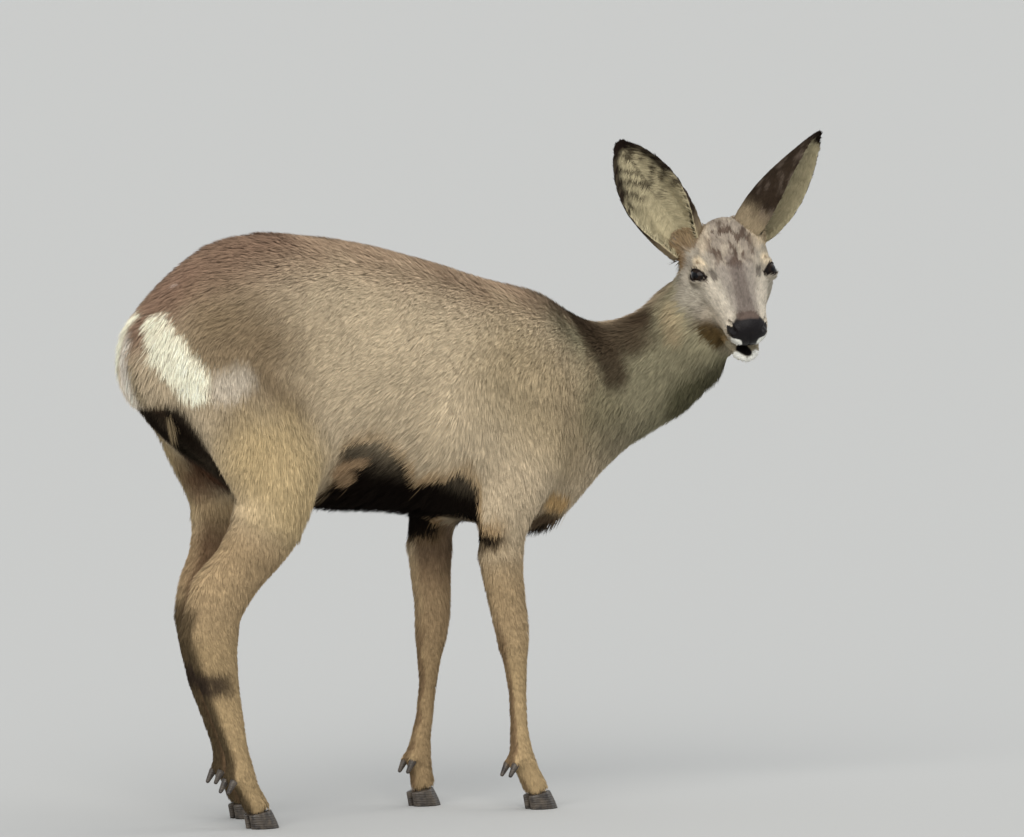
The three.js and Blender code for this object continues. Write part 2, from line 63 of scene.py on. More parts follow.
MM = 0.001
SEED = 20
Array = np.ndarray
Colour = tuple[float, float, float]
Point = tuple[float, float, float]


# ---------------------------------------------------------------------------------------- small helpers


def unit(vectors: Array) -> Array:
    """Vectors scaled to length one.

    Args:
        vectors: One vector or an array with a vector in each row.
    Returns:
        The same directions, each of length one.
    """
    length = np.linalg.norm(vectors, axis=-1, keepdims=True)
    return vectors / np.maximum(length, 1e-9)


def ramp(values: Array, low: float, high: float) -> Array:
    """A smooth step from 0 at low to 1 at high.

    Args:
        values: Where it is evaluated.
        low: Value at which the step starts; it may be above high, and the step then falls.
        high: Value at which it is complete.
    Returns:
        The step's height at each value.
    """
    share = np.clip((values - low) / (high - low), 0.0, 1.0)
    return share * share * (3.0 - 2.0 * share)


def bump(values: Array, middle: float | Array, width: float) -> Array:
    """A smooth bump of height 1.

    Args:
        values: Where it is evaluated.
        middle: Value at its top.
        width: How far from there it has sunk to a little over a third.
    Returns:
        The bump's height at each value.
    """
    return np.exp(-(((values - middle) / width) ** 2))


def square_to(vectors: Array, normals: Array) -> Array:
    """Vectors turned to lie square to the normals.

    Args:
        vectors: Directions, one a row.
        normals: Normals of length one, one a row.
    Returns:
        Directions of length one in each normal's plane.
    """
    along = np.sum(vectors * normals, axis=-1, keepdims=True)
    return unit(vectors - along * normals)


class Noise:
    """Smooth value noise on a hashed lattice, the same in each run."""

    SIZE = 4096

    def __init__(self, seed: int) -> None:
        """Draws the lattice values.

        Args:
            seed: Number that fixes them.
        """
        self.table = np.random.default_rng(seed).uniform(-1.0, 1.0, self.SIZE)

    def at(self, points: Array, scale: float | Array, octaves: int = 2) -> Array:
        """Noise between about -1 and 1.

        Args:
            points: Places in millimetres, one a row.
            scale: Size of the coarsest bumps, in millimetres, or one size for each axis.
            octaves: How many layers, each of half the size and half the height.
        Returns:
            One value for each point.
        """
        total = np.zeros(len(points))
        height = 1.0
        for octave in range(octaves):
            total += height * self._layer(points / np.asarray(scale) * 2.0**octave + 17.3 * octave)
            height *= 0.5
        return total / (2.0 - 2.0 * height)

    def _layer(self, places: Array) -> Array:
        """One layer of the lattice, blended between its corners."""
        cells = np.floor(places).astype(np.int64)
        inside = places - cells
        inside = inside * inside * (3.0 - 2.0 * inside)
        value = np.zeros(len(places))
        for corner in range(8):
            bits = np.array([corner & 1, corner >> 1 & 1, corner >> 2 & 1])
            c = cells + bits
            key = (c[:, 0] * 73856093) ^ (c[:, 1] * 19349663) ^ (c[:, 2] * 83492791)
            weight = np.prod(np.where(bits == 1, inside, 1.0 - inside), axis=1)
            value += weight * self.table[key % self.SIZE]
        return value


NOISE = Noise(SEED)


# ---------------------------------------------------------------------------------------- frames


@dataclass(frozen=True)
class AnimalFrame:
    """The animal's own frame, in millimetres, inside the shared frame, in metres."""

    shift: Array
    SOLE: Point = (5.0, -65.53, 0.0)  # the right fore sole's mount, in the animal's frame

    @classmethod
    def from_record(cls, record: dict) -> "AnimalFrame":
        """Finds the animal's frame from the mount under its right fore foot.

        Args:
            record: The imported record.
        Returns:
            The frame.
        """
        mount = next(m for m in record["mounts"] if m["name"] == "sole_fore_right")
        return cls(np.array(mount["pos_m"]) - np.array(cls.SOLE) * MM)

    def to_row(self, points: Array) -> Array:
        """Points of the animal's frame, in the shared frame."""
        return points * MM + self.shift

    def from_row(self, points: Array) -> Array:
        """Points of the shared frame, in the animal's frame."""
        return (points - self.shift) / MM


@dataclass(frozen=True)
class HeadFrame:
    """The head's frame: x along the muzzle, y to the animal's left, z to the crown."""

    origin: Point = (260.0, -107.0, 660.0)
    yaw: float = -115.0
    pitch: float = 24.0
    roll: float = 5.0

    def matrix(self) -> Array:
        """The rotation whose columns are the head's axes."""
        angles = [math.radians(angle) for angle in (self.yaw, self.pitch, self.roll)]
        (c1, s1), (c2, s2), (c3, s3) = ((math.cos(angle), math.sin(angle)) for angle in angles)
        turn = np.array([[c1, -s1, 0], [s1, c1, 0], [0, 0, 1]])
        nod = np.array([[c2, 0, s2], [0, 1, 0], [-s2, 0, c2]])
        tilt = np.array([[1, 0, 0], [0, c3, -s3], [0, s3, c3]])
        return turn @ nod @ tilt

    def inward(self, points: Array) -> Array:
        """Points of the animal's frame, in the head's frame."""
        return (points - np.array(self.origin)) @ self.matrix()

    def outward(self, points: Array) -> Array:
        """Points of the head's frame, in the animal's frame."""
        return points @ self.matrix().T + np.array(self.origin)

    def direction(self, vectors: Array) -> Array:
        """Directions of the head's frame, in the animal's frame."""
        return vectors @ self.matrix().T


HEAD = HeadFrame()


@dataclass(frozen=True)
class EyeSeat:
    """One eyeball and the almond opening of its lids, in the head's frame, with the left one at side 1."""

    side: int
    radius: float = 13.5
    at: Point = (6.0, 40.0, 1.0)
    facing: Point = (0.52, 0.74, 0.42)
    slit: Point = (35.0, -18.0, 7.0)  # from the outer corner to the inner one
    half_length: float = 12.8
    above: float = 6.8  # height of the upper lid's arch over the line between the corners
    below: float = 6.0
    behind: float = 26.0  # how far from the eyeball's middle its lids can be
    FAR = 30.0  # gap that is added beyond that, so that nothing there counts as a lid

    def centre(self) -> Array:
        """Middle of the eyeball in the head's frame."""
        return np.array(self.at) * np.array([1, self.side, 1])

    def axes(self) -> tuple[Array, Array, Array]:
        """The way the eye faces, the way to its inner corner, and the way up."""
        mirror = np.array([1, self.side, 1])
        facing = unit(np.array(self.facing) * mirror)
        inner = square_to(np.array(self.slit) * mirror, facing)
        up = np.cross(facing, inner) * -self.side
        return facing, inner, up

    def opening(self, points: Array) -> tuple[Array, Array, Array, Array]:
        """Where points of the head's frame lie round the opening, which two arcs bound.

        Args:
            points: Places in the head's frame.
        Returns:
            How far outside the opening each point is, below zero inside it; its place along the slit and
            above it; and its distance from the eyeball's middle. All are in millimetres.
        """
        facing, inner, up = self.axes()
        away = points - self.centre()
        distance = np.linalg.norm(away, axis=1)
        along, above = away @ inner, away @ up
        gaps = []
        for side, height in ((1.0, self.above), (-1.0, self.below)):
            bend = (self.half_length**2 + height**2) / (2.0 * height)
            gaps.append(np.hypot(along, side * above + bend - height) - bend)
        gap = np.maximum(*gaps) + self.FAR * ramp(distance, self.behind, self.behind + 14.0)
        return gap, along, above, distance


EYES = (EyeSeat(side=1), EyeSeat(side=-1))


@dataclass(frozen=True)
class EarSeat:
    """One cupped ear: its root, the way to its tip and the way it opens, in the animal's frame."""

    side: str
    root: Point  # in the head's frame
    tip: Point
    opens: Point
    dark_rim: float  # share of the length from which the rim is dark
    marked: float  # how strongly the hollow is marked with dark
    length: float = 152.0

    def axes(self) -> tuple[Array, Array, Array]:
        """The way to the tip, the way the ear opens, and the way across it."""
        axis = unit(np.array(self.tip))
        facing = square_to(np.array(self.opens), axis)
        return axis, facing, np.cross(axis, facing)

    def place(self, points: Array) -> tuple[Array, Array]:
        """Where points lie on the ear.

        Args:
            points: Places in the animal's frame.
        Returns:
            The share of the ear's length, and the place across it.
        """
        axis, _, across = self.axes()
        away = points - HEAD.outward(np.array([self.root]))[0]
        return away @ axis / self.length, away @ across


EARS = (
    EarSeat("right", (-60.0, -51.0, 18.0), (-0.44, 0.33, 0.84), (-0.62, -0.78, 0.0), 0.42, 1.0),
    EarSeat("left", (-60.0, 34.0, 29.0), (0.51, -0.29, 0.81), (0.6, -0.78, 0.0), 0.84, 0.15),
)


# ---------------------------------------------------------------------------------------- parts of the coat


@dataclass(frozen=True)
class Hair:
    """The coat of one part: lengths in millimetres, and how thickly its tufts stand."""

    depth: float  # from the skin to the tips
    length: float
    width: float
    per_cm2: float
    softness: float  # how far the part's solid is smoothed


class Part(Enum):
    """The parts whose coats differ, by their nodes' names without the side."""

    TRUNK = "barrel chest rump"
    NECK = "neck"
    THIGH = "thigh"
    SHOULDER = "shoulder"
    UPPER_LEG = "gaskin forearm"
    CANNON = "hind_cannon fore_cannon"
    PASTERN = "hind_pastern fore_pastern"
    HEAD = "head"
    JAW = "lower_jaw"
    NOSE = "nose_pad"
    TAIL = "tail"

    @classmethod
    def of_node(cls, node: str) -> "Part | None":
        """The part that a node belongs to, or None if no hair grows on it."""
        stem = node.removesuffix("_left").removesuffix("_right")
        return next((part for part in cls if stem in part.value.split()), None)


HAIR = {
    Part.TRUNK: Hair(9.0, 27.0, 2.7, 34.0, 1.0),
    Part.NECK: Hair(8.5, 25.0, 2.6, 35.0, 0.8),
    Part.THIGH: Hair(7.5, 23.0, 2.6, 35.0, 0.75),
    Part.SHOULDER: Hair(7.0, 22.0, 2.6, 35.0, 0.7),
    Part.UPPER_LEG: Hair(3.6, 13.0, 1.9, 35.0, 0.22),
    Part.CANNON: Hair(2.2, 8.5, 1.5, 39.0, 0.1),
    Part.PASTERN: Hair(2.0, 7.5, 1.5, 40.0, 0.08),
    Part.HEAD: Hair(2.0, 6.5, 1.4, 62.0, 0.55),
    Part.JAW: Hair(2.0, 7.0, 1.4, 60.0, 0.4),
    Part.NOSE: Hair(0.3, 3.2, 1.1, 70.0, 0.3),
    Part.TAIL: Hair(6.0, 26.0, 2.4, 40.0, 0.3),
}
PARTS = list(Part)
HEAD_COLUMNS = [PARTS.index(part) for part in (Part.HEAD, Part.JAW, Part.NOSE)]


# ---------------------------------------------------------------------------------------- markings


@dataclass(frozen=True)
class Patch:
    """A soft-edged marking round the line between two places, in the animal's or the head's frame."""

    start: Point
    end: Point
    radius: float
    colour: Colour
    strength: float = 1.0
    ragged: float = 0.22  # how far noise moves the edge, as a share of the radius
    edge: float = 0.3  # half width of the edge, as a share of the radius
    pair: bool = False  # mirrored to the other side as well

    def cover(self, points: Array) -> Array:
        """How far the marking covers each point, from 0 to 1."""
        cover = self._line(points)
        if self.pair:
            cover = np.maximum(cover, self._line(points * np.array([1, -1, 1])))
        return cover * self.strength

    def _line(self, points: Array) -> Array:
        """The cover of the one line."""
        start, end = np.array(self.start), np.array(self.end)
        run = end - start
        share = np.clip((points - start) @ run / max(run @ run, 1e-6), 0.0, 1.0)
        away = np.linalg.norm(points - start - share[:, None] * run, axis=1) / self.radius
        away = away + self.ragged * NOISE.at(points, self.radius * 0.7, 3)
        return ramp(away, 1.0 + self.edge, 1.0 - self.edge)


BODY_PATCHES = (
    Patch((-480, 0, 690), (-380, 0, 712), 74, (0.235, 0.145, 0.098), 0.8, edge=0.6),  # croup
    Patch((-540, 0, 640), (-500, 0, 680), 42, (0.3, 0.19, 0.13), 0.85, edge=0.5),
    Patch((-470, -95, 610), (-395, -100, 560), 66, (0.19, 0.13, 0.07), 0.8, edge=0.65, pair=True),  # haunch
    Patch((-470, -95, 500), (-450, -90, 460), 34, (0.22, 0.16, 0.085), 0.5, edge=0.7, pair=True),
    Patch((-300, -105, 560), (-110, -105, 520), 74, (0.72, 0.58, 0.39), 0.75, edge=0.65, pair=True),  # flank
    Patch((-50, -90, 550), (40, -80, 490), 66, (0.51, 0.395, 0.235), 0.7, edge=0.7, pair=True),  # shoulder
    Patch((-420, -110, 460), (-376, -108, 420), 62, (0.69, 0.515, 0.275), 0.9, edge=0.6, pair=True),  # stifle
    Patch((-490, -100, 556), (-462, -108, 564), 21, (0.66, 0.57, 0.45), 0.85, edge=0.45),  # moulting patch
    Patch((-500, -10, 676), (-490, -6, 674), 8, (0.85, 0.68, 0.58), 0.8),
    Patch((-290, -80, 438), (-276, -70, 424), 13, (0.4, 0.27, 0.155), 0.95, ragged=0.1, pair=True),  # groin
    Patch((-304, -84, 443), (-262, -86, 444), 11, (0.4, 0.27, 0.155), 0.95, ragged=0.1, pair=True),
    Patch((-84, 0, 384), (0, 0, 380), 25, (0.012, 0.008, 0.006), 0.9, ragged=0.1, edge=0.6),  # painted shade under the chest
    Patch((26, -52, 396), (58, -36, 390), 12, (0.6, 0.38, 0.16), 0.85, edge=0.5, pair=True),  # brisket
    # painted shade under the brisket and between the forelegs
    Patch((28, -36, 370), (60, -20, 366), 15, (0.07, 0.042, 0.022), 0.9, pair=True),
    Patch((12, 0, 346), (60, 0, 350), 24, (0.03, 0.02, 0.012), 0.95),
    Patch((96, -70, 500), (126, -84, 470), 40, (0.13, 0.125, 0.07), 0.6, edge=0.6, pair=True),  # low neck
    Patch((92, -30, 604), (90, -68, 522), 9, (0.2, 0.15, 0.09), 0.5, edge=0.6),  # painted shade in the shoulder crease
    Patch((100, -10, 612), (172, -36, 624), 27, (0.042, 0.028, 0.017), 0.95),  # dark mane
    Patch((104, -30, 594), (128, -58, 548), 24, (0.05, 0.034, 0.021), 0.9, edge=0.45),
    Patch((116, -34, 600), (164, -46, 600), 30, (0.05, 0.034, 0.021), 0.9, edge=0.45),
    Patch((124, -46, 578), (150, -52, 582), 22, (0.06, 0.042, 0.026), 0.8, edge=0.6),
    Patch((196, -66, 628), (202, -80, 590), 12, (0.34, 0.26, 0.155), 0.7, edge=0.6),  # tan beside the jaw
    Patch((262, -60, 540), (232, -64, 510), 30, (0.07, 0.065, 0.035), 0.85, edge=0.5),  # painted shade on the throat under the jaw
)

RUMP_PATCHES = (
    Patch((-534, -24, 632), (-536, -44, 606), 17, (1.0, 0.92, 0.7), 1.0, 0.2, 0.2, pair=True),
    Patch((-536, -48, 602), (-516, -72, 562), 21, (0.97, 0.92, 0.71), 1.0, 0.25, 0.3, pair=True),
    Patch((-556, 16, 614), (-562, 10, 540), 16, (0.95, 0.85, 0.72), 0.95),
    Patch((-562, -8, 578), (-556, -12, 540), 9, (0.36, 0.29, 0.19), 0.85),
    Patch((-512, 0, 470), (-440, 0, 430), 52, (0.014, 0.009, 0.006), 0.95),  # painted shade between the thighs, on their inner sides and under the tail
    Patch((-530, -36, 503), (-470, -34, 400), 31, (0.014, 0.009, 0.006), 0.95, pair=True),
    Patch((-450, 52, 420), (-470, 50, 330), 36, (0.085, 0.036, 0.018), 0.9, edge=0.6),
    Patch((-541, -10, 512), (-530, -8, 490), 22, (0.05, 0.032, 0.02), 0.95),
    Patch((-558, -18, 604), (-559, -28, 588), 10, (0.012, 0.008, 0.007), 1.0),  # bare gap below the tail and the cleft under it: dark skin with painted shade
    Patch((-558, -28, 588), (-552, -44, 552), 6.5, (0.03, 0.02, 0.013), 1.0),
    Patch((-552, -42, 546), (-543, -30, 518), 9, (0.15, 0.105, 0.055), 0.9),
)

HEAD_PATCHES = (
    Patch((-60, 0, 46), (10, 0, 34), 30, (0.3, 0.25, 0.2), 0.85),  # forehead
    Patch((-56, -31, 44), (-12, -36, 32), 11, (0.56, 0.46, 0.34), 0.85, pair=True),  # pale line to the brow
    Patch((-8, -50, 19), (16, -40, 21), 9, (0.74, 0.6, 0.41), 0.85, pair=True),  # brow
    Patch((-2, -42, 13), (4, -41, 13), 3.2, (0.2, 0.13, 0.07), 0.8, pair=True),
    Patch((24, 0, 30), (100, 0, 0), 16, (0.125, 0.098, 0.088), 0.8, edge=0.5),  # bridge of the nose
    Patch((26, -18, 20), (92, -18, -4), 8, (0.31, 0.27, 0.23), 0.7, edge=0.5, pair=True),
    Patch((30, -34, -6), (92, -26, -18), 16, (0.72, 0.64, 0.52), 0.8, edge=0.45, pair=True),  # by the nose
    Patch((20, -46, -14), (8, -50, -24), 16, (0.4, 0.36, 0.29), 0.75, edge=0.45, pair=True),  # cheek
    Patch((40, -34, -40), (90, -30, -36), 14, (0.66, 0.57, 0.45), 0.8, edge=0.45, pair=True),
    Patch((26, -34, -63), (42, -28, -68), 18, (0.07, 0.04, 0.01), 0.9, edge=0.5, pair=True),  # ochre
    Patch((54, -26, -52), (58, -24, -64), 8, (0.2, 0.125, 0.05), 0.7, pair=True),
    Patch((-30, -46, -50), (0, -42, -60), 24, (0.2, 0.17, 0.105), 0.7, pair=True),
    Patch((24, -30, 12), (34, -27, 9), 4.5, (0.085, 0.07, 0.06), 0.75, pair=True),  # gland before the eye
    Patch((18, -38, 4), (24, -36, 2), 3.5, (0.03, 0.022, 0.018), 0.9, pair=True),
    Patch((-76, -44, 12), (-46, -52, 4), 19, (0.27, 0.17, 0.08), 0.85, pair=True),  # tan below the ear
    Patch((-70, -40, 34), (-44, -44, 26), 17, (0.16, 0.105, 0.055), 0.85),
    Patch((-72, 38, 32), (-40, 42, 26), 19, (0.62, 0.5, 0.34), 0.9),
    Patch((-84, -46, -8), (-66, -56, -16), 15, (0.56, 0.5, 0.36), 0.85, pair=True),
    Patch((108, -9, -5), (108, 9, -5), 6.0, (0.11, 0.08, 0.065), 0.9),  # dark edge above the nose
    Patch((115, -17, -40), (99, -15, -70), 9.5, (0.9, 0.89, 0.82), 1.0, 0.12, 0.2, pair=True),  # lips
    Patch((96, -8, -76), (96, 8, -76), 12, (0.9, 0.89, 0.82), 1.0, 0.12, 0.2),
)

# black skin at the front of the mouth, with painted shade in the mouth
MOUTH_PATCHES = (
    Patch((104, -3, -50), (112, 3, -55), 10.5, (0.006, 0.005, 0.005), 1.0, 0.05, 0.15),
    Patch((90, -5, -58), (106, 5, -58), 8.0, (0.006, 0.005, 0.005), 1.0, 0.05, 0.15),
)

FLECK_HUES = ((0.085, 0.055, 0.04), (0.44, 0.375, 0.29))

BELLY_EDGE = (  # along the flank and above the ground: where the belly's dark fur and painted shade end
    (-330, 426), (-302, 470), (-247, 480), (-216, 452), (-178, 418),
    (-150, 427), (-127, 439), (-104, 415), (-90, 360),
)


@dataclass(frozen=True)
class Markings:
    """Colours of the coat, in linear light, shared by the skin and the tufts that grow from it, with painted
    shade under the body, between the legs and in the mouth.
    """

    flank: Colour = (0.6, 0.48, 0.325)
    back: Colour = (0.48, 0.33, 0.22)
    neck: Colour = (0.245, 0.22, 0.14)
    leg: Colour = (0.44, 0.315, 0.17)
    upper_leg: Colour = (0.42, 0.3, 0.17)
    # painted shade on the inner sides of the legs
    inner_leg_shade: Colour = (0.085, 0.045, 0.026)
    face: Colour = (0.37, 0.325, 0.26)
    jaw: Colour = (0.28, 0.24, 0.165)
    tail: Colour = (0.24, 0.155, 0.105)
    nose: Colour = (0.02, 0.018, 0.018)
    # dark fur of the belly, with painted shade under the body
    belly: Colour = (0.008, 0.0055, 0.004)
    belly_rim: Colour = (0.36, 0.235, 0.115)
    # dark hair at the back of the hock, with painted shade
    hock_rear_hair_and_shade: Colour = (0.04, 0.028, 0.016)
    # painted shade down the back of the fore cannons
    cannon_rear_shade: Colour = (0.16, 0.1, 0.055)
    shin: Colour = (0.3, 0.225, 0.135)
    gland: Colour = (0.035, 0.024, 0.018)  # tuft on the outside of the hind cannon
    eye_ring: Colour = (0.36, 0.31, 0.24)
    lid: Colour = (0.014, 0.01, 0.009)
    gland_height: float = 182.0
    tone: float = 0.16  # how far the whole coat varies in lightness

    def colour(self, points: Array, normals: Array, shares: Array) -> Array:
        """The coat's colour at places on the skin.

        Args:
            points: Places in the animal's frame.
            normals: The skin's normals there.
            shares: For each place, how much of each part it belongs to.
        Returns:
            Linear red, green and blue, one row for each place.
        """
        base = {
            Part.TRUNK: self.flank, Part.NECK: self.neck, Part.THIGH: self.flank, Part.SHOULDER: self.flank,
            Part.UPPER_LEG: self.upper_leg, Part.CANNON: self.leg, Part.PASTERN: self.leg,
            Part.HEAD: self.face, Part.JAW: self.jaw, Part.NOSE: self.nose, Part.TAIL: self.tail,
        }
        colour = shares @ np.array([base[part] for part in PARTS])
        on_head = shares[:, HEAD_COLUMNS].sum(axis=1)
        colour = self._body(colour, points, normals, shares, on_head)
        return self._head(colour, points, on_head)

    def _body(
        self, colour: Array, points: Array, normals: Array, shares: Array, on_head: Array
    ) -> Array:
        """Lays the markings of trunk, neck and legs, with painted shade under the body and between the legs,
        over the base colour.
        """
        height = points[:, 2]
        dorsal = ramp(normals[:, 2] + 0.12 * NOISE.at(points, 40.0), 0.35, 1.0) * ramp(height, 560, 620)
        colour = mix(colour, np.array(self.back), dorsal * 0.85 * (1 - on_head))
        # painted shade on the inner sides of the legs, where they face each other below the body
        inner = ramp(-np.sign(points[:, 1]) * normals[:, 1], 0.2, 0.8) * ramp(height, 440, 380)
        inner = inner * (1.0 - 0.6 * ramp(points[:, 0], -250, -200) * ramp(height, 330, 260))
        colour = mix(colour, np.array(self.inner_leg_shade), inner * 0.8 * (1 - on_head))
        colour = self._belly(colour, points, shares)
        for patch in BODY_PATCHES + RUMP_PATCHES:
            colour = mix(colour, np.array(patch.colour), patch.cover(points) * (1 - on_head))
        tone = 1.0 + self.tone * NOISE.at(points, (80.0, 60.0, 50.0), 4)
        return self._legs(colour * tone[:, None], points, normals)

    def _belly(self, colour: Array, points: Array, shares: Array) -> Array:
        """Lays the belly's dark fur with painted shade, and its tan rim, over the base colour."""
        jagged = 9.0 * NOISE.at(points, (9.0, 9.0, 24.0), 2)
        above = points[:, 2] - belly_edge(points) + jagged
        legs = shares[:, [PARTS.index(p) for p in (Part.THIGH, Part.UPPER_LEG)]].sum(axis=1)
        place = ramp(legs, 0.6, 0.2) * ramp(points[:, 0], -345, -320) * ramp(points[:, 0], -60, -84)
        place = place * ramp(points[:, 2] + jagged, 326.0, 352.0)
        colour = mix(colour, np.array(self.belly_rim), place * ramp(above, 24.0, 6.0) * 0.8)
        # the belly's dark fur with painted shade, below its edge
        return mix(colour, np.array(self.belly), place * ramp(above, 3.0, -4.0))

    def _legs(self, colour: Array, points: Array, normals: Array) -> Array:
        """Lays the dark rear of hock and cannon over the legs: dark hair with painted shade at the hock,
        painted shade down the fore cannons.
        """
        low = ramp(points[:, 2], 300, 262)
        # dark hair with painted shade at the back of the hind legs' hocks
        rear = ramp(-normals[:, 0], 0.35, 0.85) * low
        hind = ramp(points[:, 0], -250, -300)
        colour = mix(colour, np.array(self.hock_rear_hair_and_shade), rear * hind * 0.85)
        # painted shade down the back edge of the fore cannons
        cannon_shade_strip = ramp(-normals[:, 0] + 0.2 * NOISE.at(points, (9.0, 9.0, 16.0), 2), 0.7, 0.95)
        cannon_shade_strip = cannon_shade_strip * (1 - hind) * ramp(points[:, 2], 262, 200)
        colour = mix(colour, np.array(self.cannon_rear_shade), cannon_shade_strip * 0.8)
        gland = np.exp(-(((points[:, 2] - self.gland_height) / 15) ** 4))
        gland = gland * hind * ramp(-normals[:, 0], -0.6, 0.2)
        gland = gland * ramp(NOISE.at(points, 9.0, 2), -0.9, -0.3)
        colour = mix(colour, np.array(self.gland), gland * 0.9)
        front = ramp(normals[:, 0], 0.5, 0.95) * low
        return mix(colour, np.array(self.shin), front * 0.5)

    def _head(self, colour: Array, points: Array, on_head: Array) -> Array:
        """Lays the face's markings, with painted shade in the mouth, over the base colour."""
        near = on_head > 0.02
        local = HEAD.inward(points[near])
        face = colour[near]
        for patch in HEAD_PATCHES + MOUTH_PATCHES:
            face = mix(face, np.array(patch.colour), patch.cover(local))
        brow = ramp(local[:, 2], 12, 26) * ramp(local[:, 0], 40, 20) * ramp(np.abs(local[:, 1]), 34, 22)
        flecks = ramp(NOISE.at(local, (13.0, 9.0, 10.0), 3), -0.05, 0.18)
        face = mix(face, np.array(FLECK_HUES[0]), brow * flecks * 0.85)
        pale = ramp(NOISE.at(local + 90.0, (15.0, 9.0, 10.0), 2), 0.05, 0.3)
        face = mix(face, np.array(FLECK_HUES[1]), brow * pale * (1 - flecks) * 0.6)
        fine = ramp(NOISE.at(local + 40.0, (9.0, 3.5, 4.0), 2), 0.05, 0.4)
        face = mix(face, face * 0.6, fine * 0.5)
        for eye in EYES:
            gap, _, _, _ = eye.opening(local)
            face = mix(face, np.array(self.eye_ring), ramp(gap, 9.0, 4.0) * 0.5)
            face = mix(face, np.array(self.lid), ramp(gap, 3.1, 1.5))
        face = mix(face, np.array(self.nose), nose_leather(local))
        colour = colour.copy()
        colour[near] = mix(colour[near], face, ramp(on_head[near], 0.02, 0.5))
        return colour


MARKINGS = Markings()


def belly_edge(points: Array) -> Array:
    """Height above the ground, for each point's place along the body, where the belly's dark fur and painted
    shade end.
    """
    return np.interp(points[:, 0], *np.array(BELLY_EDGE).T)


def mix(under: Array, over: Array, share: Array) -> Array:
    """Colours blended by a share for each row.

    Args:
        under: Colours where the share is 0.
        over: One colour, or one for each row, where it is 1.
        share: The blend for each row.
    Returns:
        The blended colours.
    """
    share = np.asarray(share)[:, None]
    return under * (1.0 - share) + over * share


def nose_leather(local: Array) -> Array:
    """How far places of the head's frame lie on the bare black nose.

    Args:
        local: Places in the head's frame.
    Returns:
        1 on the leather, 0 on the hair.
    """
    aside = np.abs(local[:, 1])
    ahead = (local[:, 0] - 107.5) * 0.93 + (local[:, 2] + 20.0) * 0.12
    ahead = ahead + np.maximum(aside - 10.0, 0.0) * 0.62
    low = -53.0 + 21.0 * ramp(aside, 6.5, 10.5)
    top = ramp(local[:, 2] + 0.016 * aside**2, -6.5, -9.5)
    bottom = ramp(local[:, 2], low - 1.5, low + 1.0)
    return top * ramp(ahead, -1.5, 1.0) * bottom * ramp(local[:, 0], 92.0, 96.0)


# ---------------------------------------------------------------------------------------- meshes


@dataclass
class Surface:
    """A mesh as arrays, in the animal's frame."""

    points: Array
    faces: Array  # corners, one face a row
    edges: Array

    def blur(self, values: Array, steps: int, weight: float | Array = 0.5) -> Array:
        """Values averaged with those next to them.

        Args:
            values: One row for each point.
            steps: How many rounds of averaging.
            weight: How far each round goes, for all points or for each.
        Returns:
            The smoothed values.
        """
        count = len(self.points)
        first, second = self.edges[:, 0], self.edges[:, 1]
        degree = np.bincount(self.edges.ravel(), minlength=count)[:, None]
        weight = np.broadcast_to(np.asarray(weight, float), (count,))[:, None]
        values = values.reshape(count, -1).astype(float)
        for _ in range(steps):
            around = np.zeros_like(values)
            for k in range(values.shape[1]):
                around[:, k] = np.bincount(first, values[second, k], count)
                around[:, k] += np.bincount(second, values[first, k], count)
            values = values + weight * (around / np.maximum(degree, 1) - values)
        return values

    def triangles(self) -> Array:
        """The faces as triangles."""
        if self.faces.shape[1] == 3:
            return self.faces
        return np.concatenate([self.faces[:, [0, 1, 2]], self.faces[:, [0, 2, 3]]])

    def normals(self) -> Array:
        """A normal for each point, pointing out."""
        tri = self.triangles()
        a, b, c = (self.points[tri[:, k]] for k in range(3))
        flat = np.cross(b - a, c - a)
        total = np.zeros_like(self.points)
        for k in range(3):
            for axis in range(3):
                total[:, axis] += np.bincount(tri[:, k], flat[:, axis], len(self.points))
        return unit(total)


def mesh_of(name: str, points: Array, faces: Array) -> bpy.types.Mesh:
    """Makes a Blender mesh from arrays.

    Args:
        name: Name of the mesh.
        points: Places in metres in the shared frame.
        faces: Corners, one face a row, all with the same number.
    Returns:
        The mesh, smooth shaded.
    """
    mesh = bpy.data.meshes.new(name)
    count, corners = faces.shape
    mesh.vertices.add(len(points))
    mesh.vertices.foreach_set("co", points.astype(np.float32).ravel())
    mesh.loops.add(count * corners)
    mesh.loops.foreach_set("vertex_index", faces.astype(np.int32).ravel())
    mesh.polygons.add(count)
    mesh.polygons.foreach_set("loop_start", np.arange(0, count * corners, corners, dtype=np.int32))
    mesh.polygons.foreach_set("use_smooth", np.ones(count, bool))
    mesh.update(calc_edges=True)
    return mesh


def show(mesh: bpy.types.Mesh) -> bpy.types.Object:
    """Puts a mesh into the scene as an object of its own name."""
    made = bpy.data.objects.new(mesh.name, mesh)
    bpy.context.scene.collection.objects.link(made)
    return made


def paint(mesh: bpy.types.Mesh, name: str, colours: Array) -> None:
    """Stores a colour for each vertex.

    Args:
        mesh: The mesh to paint.
        name: Name of the colour attribute.
        colours: Linear red, green and blue, one row for each vertex.
    """
    layer = mesh.color_attributes.new(name, "FLOAT_COLOR", "POINT")
    full = np.concatenate([np.clip(colours, 0.0, 1.0), np.ones((len(colours), 1))], axis=1)
    layer.data.foreach_set("color", full.astype(np.float32).ravel())


def node_arrays(animal: AnimalFrame, node: bpy.types.Object) -> tuple[Array, Array]:
    """The points and triangles of a solid of the frame, in the animal's frame."""
    mesh = node.data
    points = np.zeros(len(mesh.vertices) * 3)
    mesh.vertices.foreach_get("co", points)
    mesh.calc_loop_triangles()
    corners = np.zeros(len(mesh.loop_triangles) * 3, np.int32)
    mesh.loop_triangles.foreach_get("vertices", corners)
    return animal.from_row(points.reshape(-1, 3)), corners.reshape(-1, 3)


